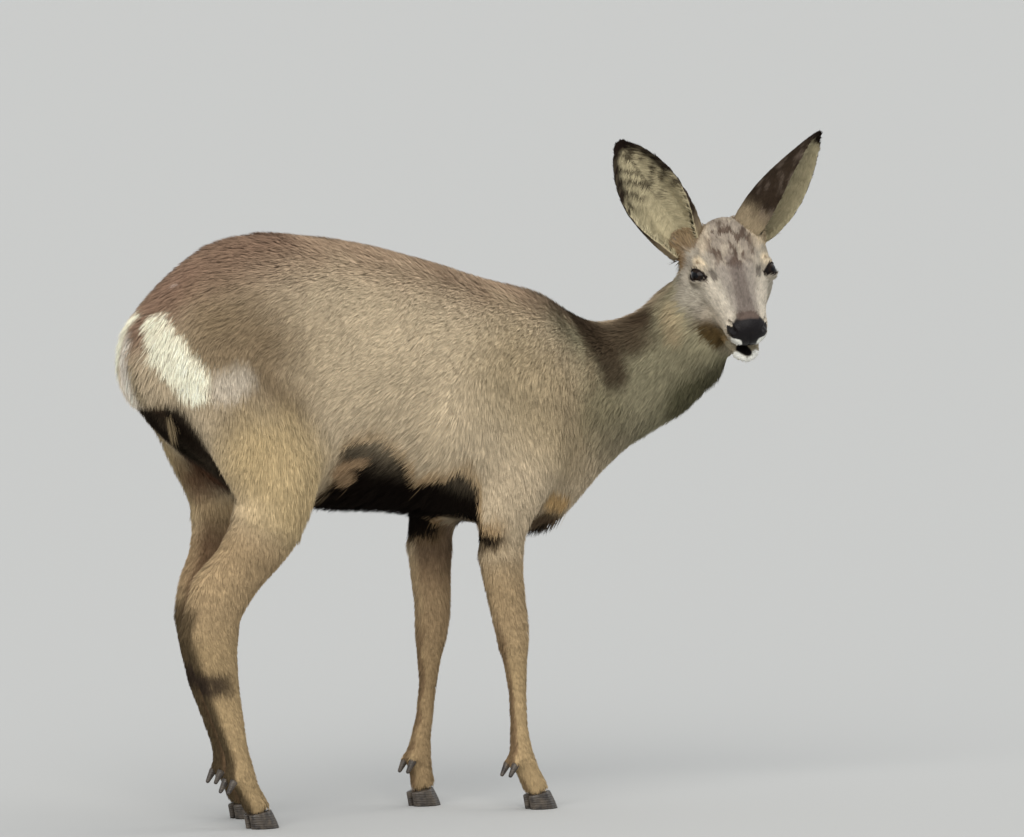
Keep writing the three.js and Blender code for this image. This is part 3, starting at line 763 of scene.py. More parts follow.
def ball(centre: Array, radius: float, around: int = 32) -> tuple[Array, Array]:
    """A closed sphere as points and triangles, in the animal's frame."""
    made = bpy.data.meshes.new("ball")
    form = bmesh.new()
    bmesh.ops.create_uvsphere(form, u_segments=around, v_segments=around // 2, radius=radius)
    bmesh.ops.triangulate(form, faces=form.faces)
    form.to_mesh(made)
    form.free()
    points = np.array([v.co for v in made.vertices]) + centre
    faces = np.array([list(p.vertices) for p in made.polygons])
    bpy.data.meshes.remove(made)
    return points, faces


def joined(pieces: list[tuple[Array, Array]]) -> tuple[Array, Array]:
    """Several lists of points and triangles as one."""
    points, faces, start = [], [], 0
    for piece_points, piece_faces in pieces:
        points.append(piece_points)
        faces.append(piece_faces + start)
        start += len(piece_points)
    return np.concatenate(points), np.concatenate(faces)


def remeshed(points: Array, faces: Array, voxel: float) -> Surface:
    """One even closed surface round overlapping solids.

    Args:
        points: Places in millimetres.
        faces: Triangles.
        voxel: Size of the new faces, in millimetres.
    Returns:
        The surface, of square faces.
    """
    source = show(mesh_of("remesh_source", points * MM, faces))
    change = source.modifiers.new("Remesh", "REMESH")
    change.mode = "VOXEL"
    change.voxel_size = voxel * MM
    depsgraph = bpy.context.evaluated_depsgraph_get()
    mesh = bpy.data.meshes.new_from_object(source.evaluated_get(depsgraph))
    out = np.zeros(len(mesh.vertices) * 3)
    mesh.vertices.foreach_get("co", out)
    corners = np.zeros(len(mesh.loops), np.int32)
    mesh.loops.foreach_get("vertex_index", corners)
    edges = np.zeros(len(mesh.edges) * 2, np.int32)
    mesh.edges.foreach_get("vertices", edges)
    old = source.data
    bpy.data.objects.remove(source)
    bpy.data.meshes.remove(old)
    bpy.data.meshes.remove(mesh)
    return Surface(out.reshape(-1, 3) / MM, corners.reshape(-1, 4), edges.reshape(-1, 2))


@dataclass(frozen=True)
class Lens:
    """A ball of space drawn larger for a while, so that an even mesh comes out finer inside it."""

    centre: Array
    radius: float
    power: float
    fade: float  # radius beyond which space stays as it is

    def enlarge(self, points: Array) -> Array:
        """Points as they lie in the enlarged space."""
        rings = (0.0, self.radius, self.fade, 1e5)
        return self._map(points, rings, (0.0, self.radius * self.power, self.fade, 1e5))

    def reduce(self, points: Array) -> Array:
        """Points of the enlarged space, back in their place."""
        rings = (0.0, self.radius, self.fade, 1e5)
        return self._map(points, (0.0, self.radius * self.power, self.fade, 1e5), rings)

    def _map(self, points: Array, before: tuple, after: tuple) -> Array:
        """Moves points along their rays, from some rings round the centre to others."""
        away = points - self.centre
        distance = np.linalg.norm(away, axis=1, keepdims=True)
        return self.centre + away * np.interp(distance, before, after) / np.maximum(distance, 1e-9)


# ---------------------------------------------------------------------------------------- finishes


class Recipe:
    """A new node material, with short ways to add the nodes that the finishes share."""

    def __init__(self, name: str) -> None:
        """Makes the material.

        Args:
            name: Its name.
        """
        self.made = bpy.data.materials.new(name)
        self.made.use_nodes = True
        self.nodes, self.links = self.made.node_tree.nodes, self.made.node_tree.links
        self.shader = next(n for n in self.nodes if n.type == "BSDF_PRINCIPLED")

    def set(self, **values: float | tuple) -> None:
        """Gives inputs of the shader fixed values, with _ for each space of a name."""
        for name, value in values.items():
            self.shader.inputs[name.replace("_", " ")].default_value = value

    def texture(self, kind: str, **values: float) -> bpy.types.Node:
        """Adds a texture that lies in the object's own space.

        Args:
            kind: Noise, Voronoi or Wave.
            values: Its inputs.
        Returns:
            The texture's node.
        """
        place = self.nodes.new("ShaderNodeTexCoord")
        made = self.nodes.new(f"ShaderNodeTex{kind}")
        for name, value in values.items():
            made.inputs[name].default_value = value
        self.links.new(place.outputs["Object"], made.inputs["Vector"])
        return made

    def between(self, share: bpy.types.NodeSocket, low: float, high: float) -> bpy.types.NodeSocket:
        """Turns a share from 0 to 1 into a value from low to high."""
        made = self.nodes.new("ShaderNodeMapRange")
        made.inputs["To Min"].default_value = low
        made.inputs["To Max"].default_value = high
        self.links.new(share, made.inputs["Value"])
        return made.outputs["Result"]

    def painted(self, strength: bpy.types.NodeSocket) -> None:
        """Uses the painted colours, each point's made lighter or darker by a strength."""
        colour = self.nodes.new("ShaderNodeVertexColor")
        colour.layer_name = "Coat"
        tint = self.nodes.new("ShaderNodeVectorMath")
        tint.operation = "SCALE"
        self.links.new(colour.outputs["Color"], tint.inputs[0])
        self.links.new(strength, tint.inputs["Scale"])
        self.links.new(tint.outputs["Vector"], self.shader.inputs["Base Color"])

    def tones(self, share: bpy.types.NodeSocket, low: Colour, high: Colour, span: tuple = (0.0, 1.0)) -> None:
        """Colours the material from one colour to another as a share goes over a span."""
        tones = self.nodes.new("ShaderNodeValToRGB")
        for element, place, colour in zip(tones.color_ramp.elements, span, (low, high)):
            element.position = place
            element.color = (*colour, 1)
        self.links.new(share, tones.inputs["Fac"])
        self.links.new(tones.outputs["Color"], self.shader.inputs["Base Color"])

    def roughness(self, share: bpy.types.NodeSocket, low: float, high: float) -> None:
        """Varies the roughness with a share."""
        self.links.new(self.between(share, low, high), self.shader.inputs["Roughness"])

    def relief(self, height: bpy.types.NodeSocket, strength: float, depth: float, sunk: bool = False) -> None:
        """Adds fine relief.

        Args:
            height: Its height, from 0 to 1.
            strength: How strongly it shows.
            depth: Its depth in metres.
            sunk: Whether the height counts as depth.
        """
        made = self.nodes.new("ShaderNodeBump")
        made.inputs["Strength"].default_value = strength
        made.inputs["Distance"].default_value = depth
        made.invert = sunk
        self.links.new(height, made.inputs["Height"])
        self.links.new(made.outputs["Normal"], self.shader.inputs["Normal"])


@dataclass(frozen=True)
class CoatFinish:
    """Hair: the painted colour with fine variation, dull, with a fine grain."""

    name: str
    roughness: float = 0.85
    grain: float = 260.0
    bump: float = 0.25
    vary: float = 0.18  # how far the colour varies with the grain

    def material(self) -> bpy.types.Material:
        """Builds the material."""
        recipe = Recipe(self.name)
        grain = recipe.texture("Noise", Scale=self.grain, Detail=3.0).outputs["Fac"]
        recipe.painted(recipe.between(grain, 1.0 - self.vary, 1.0 + self.vary))
        recipe.roughness(grain, self.roughness - 0.08, self.roughness + 0.08)
        recipe.relief(grain, self.bump, 0.0008)
        recipe.set(Specular_IOR_Level=0.03)
        return recipe.made


@dataclass(frozen=True)
class LeatherFinish:
    """Bare black skin of the nose: fine pebbles, moist."""

    name: str
    colour: Colour = (0.004, 0.0033, 0.004)
    light: Colour = (0.013, 0.0105, 0.011)
    pebbles: float = 700.0

    def material(self) -> bpy.types.Material:
        """Builds the material."""
        recipe = Recipe(self.name)
        patchy = recipe.texture("Noise", Scale=90.0).outputs["Fac"]
        recipe.tones(patchy, self.colour, self.light)
        recipe.roughness(patchy, 0.36, 0.52)
        cells = recipe.texture("Voronoi", Scale=self.pebbles).outputs["Distance"]
        recipe.relief(cells, 0.55, 0.0006, sunk=True)
        recipe.set(Specular_IOR_Level=0.15)
        return recipe.made


@dataclass(frozen=True)
class HornFinish:
    """Hoof horn: black-brown, with growth rings, worn paler in places."""

    name: str
    dark: Colour = (0.022, 0.017, 0.014)
    worn: Colour = (0.12, 0.095, 0.07)

    def material(self) -> bpy.types.Material:
        """Builds the material."""
        recipe = Recipe(self.name)
        wear = recipe.texture("Noise", Scale=130.0, Detail=4.0).outputs["Fac"]
        recipe.tones(wear, self.dark, self.worn, (0.35, 0.85))
        recipe.roughness(wear, 0.34, 0.6)
        rings = recipe.texture("Wave", Scale=110.0, Distortion=3.0, Detail=2.0)
        rings.bands_direction = "Z"
        recipe.relief(rings.outputs["Fac"], 0.4, 0.0007)
        return recipe.made


@dataclass(frozen=True)
class EyeFinish:
    """A dark brown eye under a clear wet surface."""

    name: str
    roughness: float = 0.1

    def material(self) -> bpy.types.Material:
        """Builds the material."""
        recipe = Recipe(self.name)
        fleck = recipe.texture("Noise", Scale=900.0).outputs["Fac"]
        recipe.painted(recipe.between(fleck, 0.6, 1.4))
        recipe.set(Roughness=self.roughness, Specular_IOR_Level=0.14)
        return recipe.made


@dataclass(frozen=True)
class FloorFinish:
    """Plain pale floor, dull."""

    name: str
    colour: Colour = (0.46, 0.46, 0.45)

    def material(self) -> bpy.types.Material:
        """Builds the material."""
        recipe = Recipe(self.name)
        recipe.set(Base_Color=(*self.colour, 1), Roughness=0.9, Specular_IOR_Level=0.1)
        return recipe.made


# ---------------------------------------------------------------------------------------- skin


LIMBS = (
    ("thigh", "gaskin", "hind_cannon", "hind_pastern"),
    ("shoulder", "forearm", "fore_cannon", "fore_pastern"),
)


@dataclass
class Skin:
    """The one skin under the whole coat, made round the solids of flesh and sunk by the coat's depth."""

    animal: AnimalFrame
    nodes: dict
    voxel: float = 5.1
    smoothing: int = 60
    eye_mound: float = 1.9  # how far the closed lids would stand over the eyeball
    claw_mound: float = 8.6  # radius of the bump of skin round the root of a dewclaw
    nostril: Point = (112.0, 16.0, -23.0)  # the left one's front end, in the head's frame
    nostril_end: Point = (101.0, 25.0, -18.0)
    nostril_way: Point = (-0.78, -0.52, -0.1)  # the way into it
    nostril_depth: float = 11.5
    mouth_line: float = -56.6  # height of the mouth in the head's frame
    FACE = (20.0, 0.0, -20.0)  # middle of what is sculpted, in the head's frame
    FACE_REACH = 150.0
    CLEAR = 1.5  # how far off the skin a ray starts that looks for a fold
    FOLD = 13.0  # and how far it looks
    surface: Surface = field(init=False)
    shares: Array = field(init=False)  # how much of each part every point belongs to
    tints: Array = field(init=False)  # the same for the coat's colours, blended further on the body
    folded: Array = field(init=False)  # 1 where the skin lies against another part of itself
    owner: Array = field(init=False)  # row, in flesh(), of the node that each point lies on
    flow: Array = field(init=False)  # the way the hair lies
    normals: Array = field(init=False)
    bare: Array = field(init=False)  # 1 where no hair grows
    corner_uv: Array = field(init=False)  # place of each face's corners on the unwrap

    def flesh(self) -> list[str]:
        """Names of the nodes that the skin stands for, ears aside."""
        return sorted(name for name in self.nodes if Part.of_node(name))

    def build(self) -> None:
        """Makes the surface, its parts, its shape and the lie of the hair."""
        names = self.flesh()
        solids = [node_arrays(self.animal, self.nodes[name]) for name in names]
        owners = np.concatenate([np.full(len(faces), k) for k, (_, faces) in enumerate(solids)])
        mounds = []
        for eye in EYES:
            middle = HEAD.outward(eye.centre()[None])[0]
            mounds.append(ball(middle, eye.radius + self.eye_mound))
        for name in sorted(name for name in self.nodes if "dewclaw" in name):
            claw = node_arrays(self.animal, self.nodes[name])[0]
            top = claw[claw[:, 2] > claw[:, 2].max() - 4.0].mean(axis=0)
            mounds.append(ball(top + np.array([3.0, 0.0, 1.0]), self.claw_mound, 16))
        points, faces = joined(solids + mounds)
        self.surface = self._even(points, faces)
        flesh_points, flesh_faces = joined(solids)
        self._label(flesh_points, flesh_faces, owners, names)
        self._soften()
        self._sink()
        self._sculpt_head()
        self.normals = self.surface.normals()
        self._folds()
        self._comb()

    def _even(self, points: Array, faces: Array) -> Surface:
        """Remeshes the solids, finer on the head and finest at eyes and muzzle."""
        lenses = [Lens(HEAD.outward(np.array([[12.0, 0.0, -15.0]]))[0], 122.0, 2.2, 430.0)]
        spots = [(eye.centre(), 24.0, 2.2, 84.0) for eye in EYES]
        spots.append((np.array([104.0, 0.0, -40.0]), 38.0, 1.8, 105.0))
        for middle, radius, power, fade in spots:
            where = HEAD.outward(middle[None])
            for lens in lenses:
                where = lens.enlarge(where)
            lenses.append(Lens(where[0], radius * lenses[0].power, power, fade * lenses[0].power))
        for lens in lenses:
            points = lens.enlarge(points)
        surface = remeshed(points, faces, self.voxel)
        for lens in reversed(lenses):
            surface.points = lens.reduce(surface.points)
        return surface

    def _label(self, points: Array, faces: Array, owners: Array, names: list[str]) -> None:
        """Says which part each point belongs to, blended where parts meet."""
        tree = BVHTree.FromPolygons(points.tolist(), faces.tolist())
        rows = np.array([PARTS.index(Part.of_node(name)) for name in names])
        found = np.array([tree.find_nearest(Vector(p))[2] for p in self.surface.points.tolist()])
        self.owner = owners[found]
        sharp = np.zeros((len(self.surface.points), len(PARTS)))
        sharp[np.arange(len(found)), rows[self.owner]] = 1.0
        self.shares = self.surface.blur(sharp, 8)
        wide = self.surface.blur(sharp, 90)
        wide[:, HEAD_COLUMNS] = 0.0
        rest = 1.0 - self.shares[:, HEAD_COLUMNS].sum(axis=1)
        self.tints = wide * (rest / np.maximum(wide.sum(axis=1), 1e-6))[:, None]
        self.tints[:, HEAD_COLUMNS] = self.shares[:, HEAD_COLUMNS]

    def field(self, name: str) -> Array:
        """A figure of the coat at each point, blended between the parts."""
        return self.shares @ np.array([getattr(HAIR[part], name) for part in PARTS])

    def _soften(self) -> None:
        """Rounds off the facets of the solids."""
        softness = self.surface.blur(self.field("softness"), 6)[:, 0]
        self.surface.points = self.surface.blur(self.surface.points, self.smoothing, 0.5 * softness)

    def _sink(self) -> None:
        """Sinks the skin below the tips of the coat."""
        normals = unit(self.surface.blur(self.surface.normals(), 4))
        depth = self.surface.blur(self.field("depth"), 10)
        self.surface.points = self.surface.points - normals * depth
        self.surface.points = self.surface.blur(self.surface.points, 4, 0.3)

    def _sculpt_head(self) -> None:
        """Shapes lids, brows, nostrils, lips and cheeks."""
        local = HEAD.inward(self.surface.points)
        near = np.flatnonzero(np.linalg.norm(local - np.array(self.FACE), axis=1) < self.FACE_REACH)
        face = local[near]
        for eye in EYES:
            face = self._lids(face, eye)
        face = self._muzzle(face)
        local[near] = face
        self.surface.points = HEAD.outward(local)
        self.bare = np.zeros(len(local))
        mouth = np.max([patch.cover(face) for patch in MOUTH_PATCHES], axis=0)
        self.bare[near] = np.max([nose_leather(face), self._lid_edge(face), mouth], axis=0)

    def _lid_edge(self, face: Array) -> Array:
        """1 on the naked edge of the lids and inside them."""
        return np.maximum(*[ramp(eye.opening(face)[0], 2.6, 1.4) for eye in EYES])

    def _lids(self, face: Array, eye: EyeSeat) -> Array:
        """Opens the lids round one eye."""
        gap, along, above, distance = eye.opening(face)
        way = unit(face - eye.centre())
        lid = eye.radius + 1.2 + 0.6 * ramp(gap, 0.6, 2.6)
        crease = 1.3 * bump(gap, 4.6, 1.1) * ramp(above, 1.0, 5.0)
        bag = 0.8 * bump(gap, 4.0, 1.0) * ramp(above, -1.0, -5.0)
        target = distance + (lid - crease - bag - distance) * ramp(gap, 9.0, 3.0)
        target = np.where(gap < -0.3, eye.radius + 0.4 - 2.6 * ramp(gap, -0.3, -2.0), target)
        brow = 2.4 * bump(gap, 9.0, 3.4) * ramp(above, 4.0, 10.0)
        corner = 2.0 * bump(gap, 4.5, 2.6) * ramp(along, 13.0, 17.0)
        target = target + brow - corner
        near = gap < 20.0
        return np.where(near[:, None], eye.centre() + way * target[:, None], face)

    def _muzzle(self, face: Array) -> Array:
        """Cuts nostrils, philtrum and mouth, rounds the lips and fills the cheeks."""
        x, y, z = face.T
        push = self._nostrils(face)
        push[:, 0] -= 1.6 * bump(y, 0.0, 1.3) * ramp(z, -20.0, -28.0) * ramp(x, 106.0, 111.0)
        line = self.mouth_line + 1.6 * ramp(x, 60.0, 38.0)
        mouth = bump(z, line, 1.5) * ramp(x, 34.0, 42.0)
        lip = bump(z, line + 5.0, 3.0) * ramp(x, 44.0, 60.0)
        inward = np.zeros_like(face)
        inward[:, 0] = -ramp(x, 84.0, 104.0)
        inward[:, 1] = -np.sign(y) * ramp(x, 112.0, 92.0)
        push += unit(inward) * (2.6 * mouth - lip)[:, None]
        cheek = bump(x, 44.0, 17.0) * bump(z, -30.0, 9.0) * ramp(np.abs(y), 12.0, 24.0)
        push[:, 1] -= np.sign(y) * 1.8 * cheek
        return face + push

    def _nostrils(self, face: Array) -> Array:
        """How each point moves for the two nostrils and the low rims round them."""
        push = np.zeros_like(face)
        for side in (-1, 1):
            mirror = np.array([1, side, 1])
            hole, end = np.array(self.nostril) * mirror, np.array(self.nostril_end) * mirror
            into = unit(np.array(self.nostril_way) * mirror)
            run = end - hole
            share = np.clip((face - hole) @ run / (run @ run), 0.0, 1.0)
            away = np.linalg.norm(face - hole - share[:, None] * run, axis=1)
            pit = ramp(away, 6.0, 1.8) * (1.0 - 0.6 * share) * self.nostril_depth
            rim = bump(away, 7.2, 1.8) * ramp(face[:, 0], 98.0, 103.0) * ramp(face[:, 2], -38.0, -30.0)
            push += (pit - 1.2 * rim)[:, None] * into
        return push

    def _folds(self) -> None:
        """Finds where the skin lies against another part of itself, so that less hair grows there."""
        tree = BVHTree.FromPolygons(self.surface.points.tolist(), self.surface.faces.tolist())
        starts = (self.surface.points + self.CLEAR * self.normals).tolist()
        hits = [
            tree.ray_cast(Vector(start), Vector(normal), self.FOLD)[0]
            for start, normal in zip(starts, self.normals.tolist())
        ]
        self.folded = np.array([float(hit is not None) for hit in hits])

    def _comb(self) -> None:
        """Lays the hair: from the nose back, down the neck, back along the trunk and down the legs."""
        points = self.surface.points
        names = self.flesh()
        owner = np.array(names)[self.owner]
        ways = np.tile(np.array([-1.0, 0.0, -0.16]), (len(points), 1))
        self._comb_legs(ways, owner)
        flank = ramp(np.abs(self.normals[:, 1]), 0.3, 0.9)
        trunk = np.isin(owner, ["barrel", "chest", "rump"])
        ways[trunk, 2] -= 0.32 * flank[trunk]
        buttock = trunk & (points[:, 0] < -500)
        ways[buttock] = np.array([-0.25, 0.0, -1.0])
        breast = trunk & (points[:, 0] > 60)
        ways[breast] = np.array([-0.6, 0.0, -0.8])
        neck = owner == "neck"
        share = ramp(points[:, 0], 90.0, 240.0)[neck, None]
        low, high = unit(np.array([-0.9, 0.1, -0.45])), unit(np.array([-0.35, 0.45, -0.8]))
        ways[neck] = low * (1 - share) + high * share
        face = np.isin(owner, ["head", "lower_jaw", "nose_pad"])
        local = HEAD.inward(points[face])
        back = unit(local - np.array([128.0, 0.0, -34.0]))
        back[:, 2] -= 1.6 * ramp(local[:, 0], -45.0, -80.0)
        ways[face] = HEAD.direction(back)
        ways = square_to(self.surface.blur(ways, 90), self.normals)
        swirl = np.stack([NOISE.at(points + 100.0 * k, 42.0, 2) for k in range(3)], axis=1)
        ease = np.clip(self.field("length") / 27.0, 0.25, 1.0)[:, None]
        self.flow = square_to(ways + 0.3 * swirl * ease, self.normals)

    def _comb_legs(self, ways: Array, owner: Array) -> None:
        """Lays the hair of each piece of a leg toward the next one down."""
        centre = {name: node_arrays(self.animal, self.nodes[name])[0].mean(axis=0) for name in self.flesh()}
        for limb in LIMBS:
            for side in ("left", "right"):
                for upper, lower in zip(limb, limb[1:]):
                    way = centre[f"{lower}_{side}"] - centre[f"{upper}_{side}"]
                    ways[owner == f"{upper}_{side}"] = unit(way)
                ways[owner == f"{limb[-1]}_{side}"] = np.array([0.1, 0.0, -1.0])

    def finish(self, ears: "Ears") -> bpy.types.Object:
        """Joins the ears' shells to the skin, paints, unwraps and shows it.

        Args:
            ears: The two ears.
        Returns:
            The skin's object.
        """
        colours = MARKINGS.colour(self.surface.points, self.normals, self.tints)
        points = np.concatenate([self.surface.points, ears.surface.points])
        faces = np.concatenate([self.surface.faces, ears.surface.faces + len(self.surface.points)])
        mesh = mesh_of("skin", self.animal.to_row(points), faces)
        paint(mesh, "Coat", np.concatenate([colours, ears.colours]))
        made = show(mesh)
        mesh.materials.append(CoatFinish("hide", roughness=0.85, grain=500.0, bump=0.5).material())
        mesh.materials.append(LeatherFinish("nose_leather").material())
        leather = nose_leather(HEAD.inward(self.surface.points))[self.surface.faces].mean(axis=1) > 0.5
        slots = np.zeros(len(faces), np.int32)
        slots[: len(leather)] = leather
        mesh.polygons.foreach_set("material_index", slots)
        self._unwrap(made)
        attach(made, "root")
        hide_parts(*self.flesh(), "ear_left", "ear_right")
        return made

    def _unwrap(self, made: bpy.types.Object) -> None:
        """Unwraps the skin and keeps the place of each face's corners."""
        mesh = made.data
        mesh.uv_layers.new(name="OFBake")
        bpy.context.view_layer.objects.active = made
        made.select_set(True)
        bpy.ops.object.mode_set(mode="EDIT")
        bpy.ops.mesh.select_all(action="SELECT")
        bpy.ops.uv.smart_project(angle_limit=math.radians(72.0), island_margin=0.004)
        bpy.ops.object.mode_set(mode="OBJECT")
        made.select_set(False)
        uv = np.zeros(len(mesh.loops) * 2)
        mesh.uv_layers["OFBake"].data.foreach_get("uv", uv)
        self.corner_uv = uv.reshape(-1, 4, 2)


# ---------------------------------------------------------------------------------------- tufts


@dataclass(frozen=True)
class Scatter:
    """Roots spread over a surface, each with its triangle's corners and its place between them."""

    corners: Array
    shares: Array
    face: Array  # the four-sided face
    half: Array  # which of its triangles: 0 or 1

    @classmethod
    def over(cls, surface: Surface, density: Array, rng: np.random.Generator) -> "Scatter":
        """Spreads roots.

        Args:
            surface: The surface, of four-sided faces.
            density: Roots for each square millimetre, at each point.
            rng: Source of chance.
        Returns:
            The roots.
        """
        tri = surface.triangles()
        a, b, c = (surface.points[tri[:, k]] for k in range(3))
        area = np.linalg.norm(np.cross(b - a, c - a), axis=1) / 2
        weight = area * density[tri].mean(axis=1)
        total = int(weight.sum())
        pick = np.searchsorted(np.cumsum(weight), rng.random(total) * weight.sum())
        pick = np.clip(pick, 0, len(tri) - 1)
        quads = len(surface.faces)
        return cls(tri[pick], rng.dirichlet((1.0, 1.0, 1.0), total), pick % quads, pick // quads)

    def spread(self, values: Array) -> Array:
        """Values of the surface's points, blended to the roots."""
        return np.einsum("ij,ij...->i...", self.shares, values[self.corners])

    def uvs(self, corner_uv: Array) -> Array:
        """Places of the roots on the unwrap, from those of each face's corners."""
        order = np.array([[0, 1, 2], [0, 2, 3]])[self.half]
        corners = np.take_along_axis(corner_uv[self.face], order[:, :, None], axis=1)
        return np.einsum("ij,ijk->ik", self.shares, corners)


@dataclass(frozen=True)
class Growth:
    """Where hair grows and how: one row for each tuft, in the animal's frame."""

    roots: Array
    normals: Array
    ways: Array
    lengths: Array
    widths: Array
    depths: Array
    colours: Array
    uvs: Array


def resized(grown: Growth, length: float, width: float, depth: float) -> Growth:
    """The same tufts with their lengths, widths and depths multiplied."""
    return replace(
        grown, lengths=grown.lengths * length, widths=grown.widths * width, depths=grown.depths * depth
    )


@dataclass(frozen=True)
class TuftShape:
    """How one kind of tuft is made."""

    sway: float = 0.13  # how far tufts turn from the lie of the coat
    gather: float = 0.35  # how far they lean to the tip of their lock
    lock: int = 9  # tufts in a lock
    dark_tips: float = 0.12  # share of tufts with dark tips
    root_tone: float = 0.88
    tip_tone: float = 1.18
    droop: float = 0.0  # how far the tip of a long tuft hangs, as a share of its length
    long: bool = False  # made of two lengths instead of one


class Tufts:
    """Turns growth into a mesh of slim closed spikes."""

    SHORT = np.array([[0, 3, 2], [2, 3, 1], [1, 3, 0], [0, 2, 1]])
    LONG = np.array(
        [
            [0, 1, 2], [0, 3, 4], [0, 4, 1], [1, 4, 5], [1, 5, 2],
            [2, 5, 3], [2, 3, 0], [3, 6, 4], [4, 6, 5], [5, 6, 3],
        ]
    )
    SUNK = 0.6  # how far a tuft's root lies under the skin

    def __init__(self, animal: AnimalFrame, patch: float = 0.0015) -> None:
        """Keeps what all pieces share.

        Args:
            animal: The animal's frame.
            patch: Half the width of a tuft's own patch on the unwrap.
        """
        self.animal = animal
        self.patch = patch

    def mesh(self, name: str, grown: Growth, shape: TuftShape, rng: np.random.Generator) -> bpy.types.Object:
        """Builds one coat piece.

        Args:
            name: Name of the piece.
            grown: The tufts' places and sizes.
            shape: The kind of tuft.
            rng: Source of the small differences between tufts.
        Returns:
            The piece's object.
        """
        count = len(grown.roots)
        across = np.cross(grown.normals, grown.ways)
        way = unit(grown.ways + across * rng.normal(0.0, shape.sway, count)[:, None])
        length = grown.lengths * rng.uniform(0.78, 1.18, count)
        reach = grown.depths * rng.uniform(0.72, 1.12, count)
        rise = np.clip(reach / length, 0.05, 0.95)
        run = way * np.sqrt(1 - rise**2)[:, None] + grown.normals * rise[:, None]
        tips = grown.roots + run * length[:, None]
        lock = self._locks(grown, shape, rng)
        tips = self._lean(tips, lock, shape, rng)
        tips[:, 2] -= shape.droop * length
        half_width = grown.widths * rng.uniform(0.8, 1.25, count) / 2
        side = unit(np.cross(grown.normals, way)) * half_width[:, None]
        sunk = grown.roots - grown.normals * self.SUNK
        ridge = grown.normals * (0.35 * grown.widths)[:, None]
        rows = [sunk - side, sunk + side, sunk + ridge]
        if shape.long:
            rows = [sunk - side, sunk + ridge, sunk + side]
            middle = grown.roots * 0.5 + tips * 0.5 + grown.normals * (0.025 * length + 0.1 * reach)[:, None]
            middle[:, 2] += 0.25 * shape.droop * length
            rows += [middle - side * 0.75, middle + ridge * 0.7, middle + side * 0.75]
        points = np.stack(rows + [tips], axis=1)
        corner = self.LONG if shape.long else self.SHORT
        faces = (np.arange(count)[:, None, None] * points.shape[1] + corner).reshape(-1, 3)
        mesh = mesh_of(name, self.animal.to_row(points.reshape(-1, 3)), faces)
        paint(mesh, "Coat", self._tones(grown, lock, shape, rng).reshape(-1, 3))
        self._patches(mesh, grown.uvs, corner, points.shape[1])
        self._shade(mesh, points, grown.normals, side)
        return show(mesh)

    def _shade(self, mesh: bpy.types.Mesh, points: Array, normals: Array, side: Array) -> None:
        """Shades each tuft like the skin under it, slightly rounded from side to side."""
        turn = np.sign(np.einsum("ijk,ik->ij", points - points.mean(axis=1, keepdims=True), side))
        smooth = unit(normals[:, None] + 0.3 * turn[:, :, None] * unit(side)[:, None])
        mesh.normals_split_custom_set_from_vertices(smooth.reshape(-1, 3))

    def _locks(self, grown: Growth, shape: TuftShape, rng: np.random.Generator) -> Array:
        """The lock that each tuft belongs to, as the row of the lock's leading tuft."""
        count = len(grown.roots)
        picked = rng.choice(count, max(1, count // shape.lock), replace=False)
        tree = KDTree(len(picked))
        for k, root in zip(picked.tolist(), grown.roots[picked].tolist()):
            tree.insert(root, k)
        tree.balance()
        return np.array([tree.find(root)[1] for root in grown.roots.tolist()])

    def _lean(self, tips: Array, lock: Array, shape: TuftShape, rng: np.random.Generator) -> Array:
        """Draws the tips of each lock together."""
        return tips + (tips[lock] - tips) * shape.gather * rng.uniform(0.3, 1.0, len(tips))[:, None]

    def _tones(self, grown: Growth, lock: Array, shape: TuftShape, rng: np.random.Generator) -> Array:
        """Colours of each tuft from its root to its tip."""
        count = len(grown.roots)
        shade = rng.normal(1.0, 0.06, count) * rng.normal(1.0, 0.06, count)[lock]
        tone = grown.colours * np.clip(shade, 0.6, 1.5)[:, None]
        pale = np.clip(shape.tip_tone - 0.35 * grown.colours.mean(axis=1), 1.0, shape.tip_tone)
        tip = tone * np.where(rng.random(count) < shape.dark_tips, 0.7, pale)[:, None]
        root = tone * shape.root_tone
        body = tone * (0.5 + 0.5 * shape.tip_tone)
        if shape.long:
            return np.stack([root, root, root, body, body, body, tip], axis=1)
        return np.stack([root, root, body, tip], axis=1)

    def _patches(self, mesh: bpy.types.Mesh, uvs: Array, corner: Array, rows: int) -> None:
        """Gives each tuft a small patch at its root's place on the skin's unwrap."""
        height = np.linspace(-1.0, 1.0, rows)
        spread = np.stack([np.where(np.arange(rows) % 2 == 0, -1.0, 1.0) * (1 - height) / 2, height], axis=1)
        full = (uvs[:, None, :] + spread * self.patch)[:, corner.ravel(), :]
        layer = mesh.uv_layers.new(name="OFBake")
        layer.data.foreach_set("uv", np.clip(full, 0.0, 1.0).astype(np.float32).ravel())


# ---------------------------------------------------------------------------------------- ears


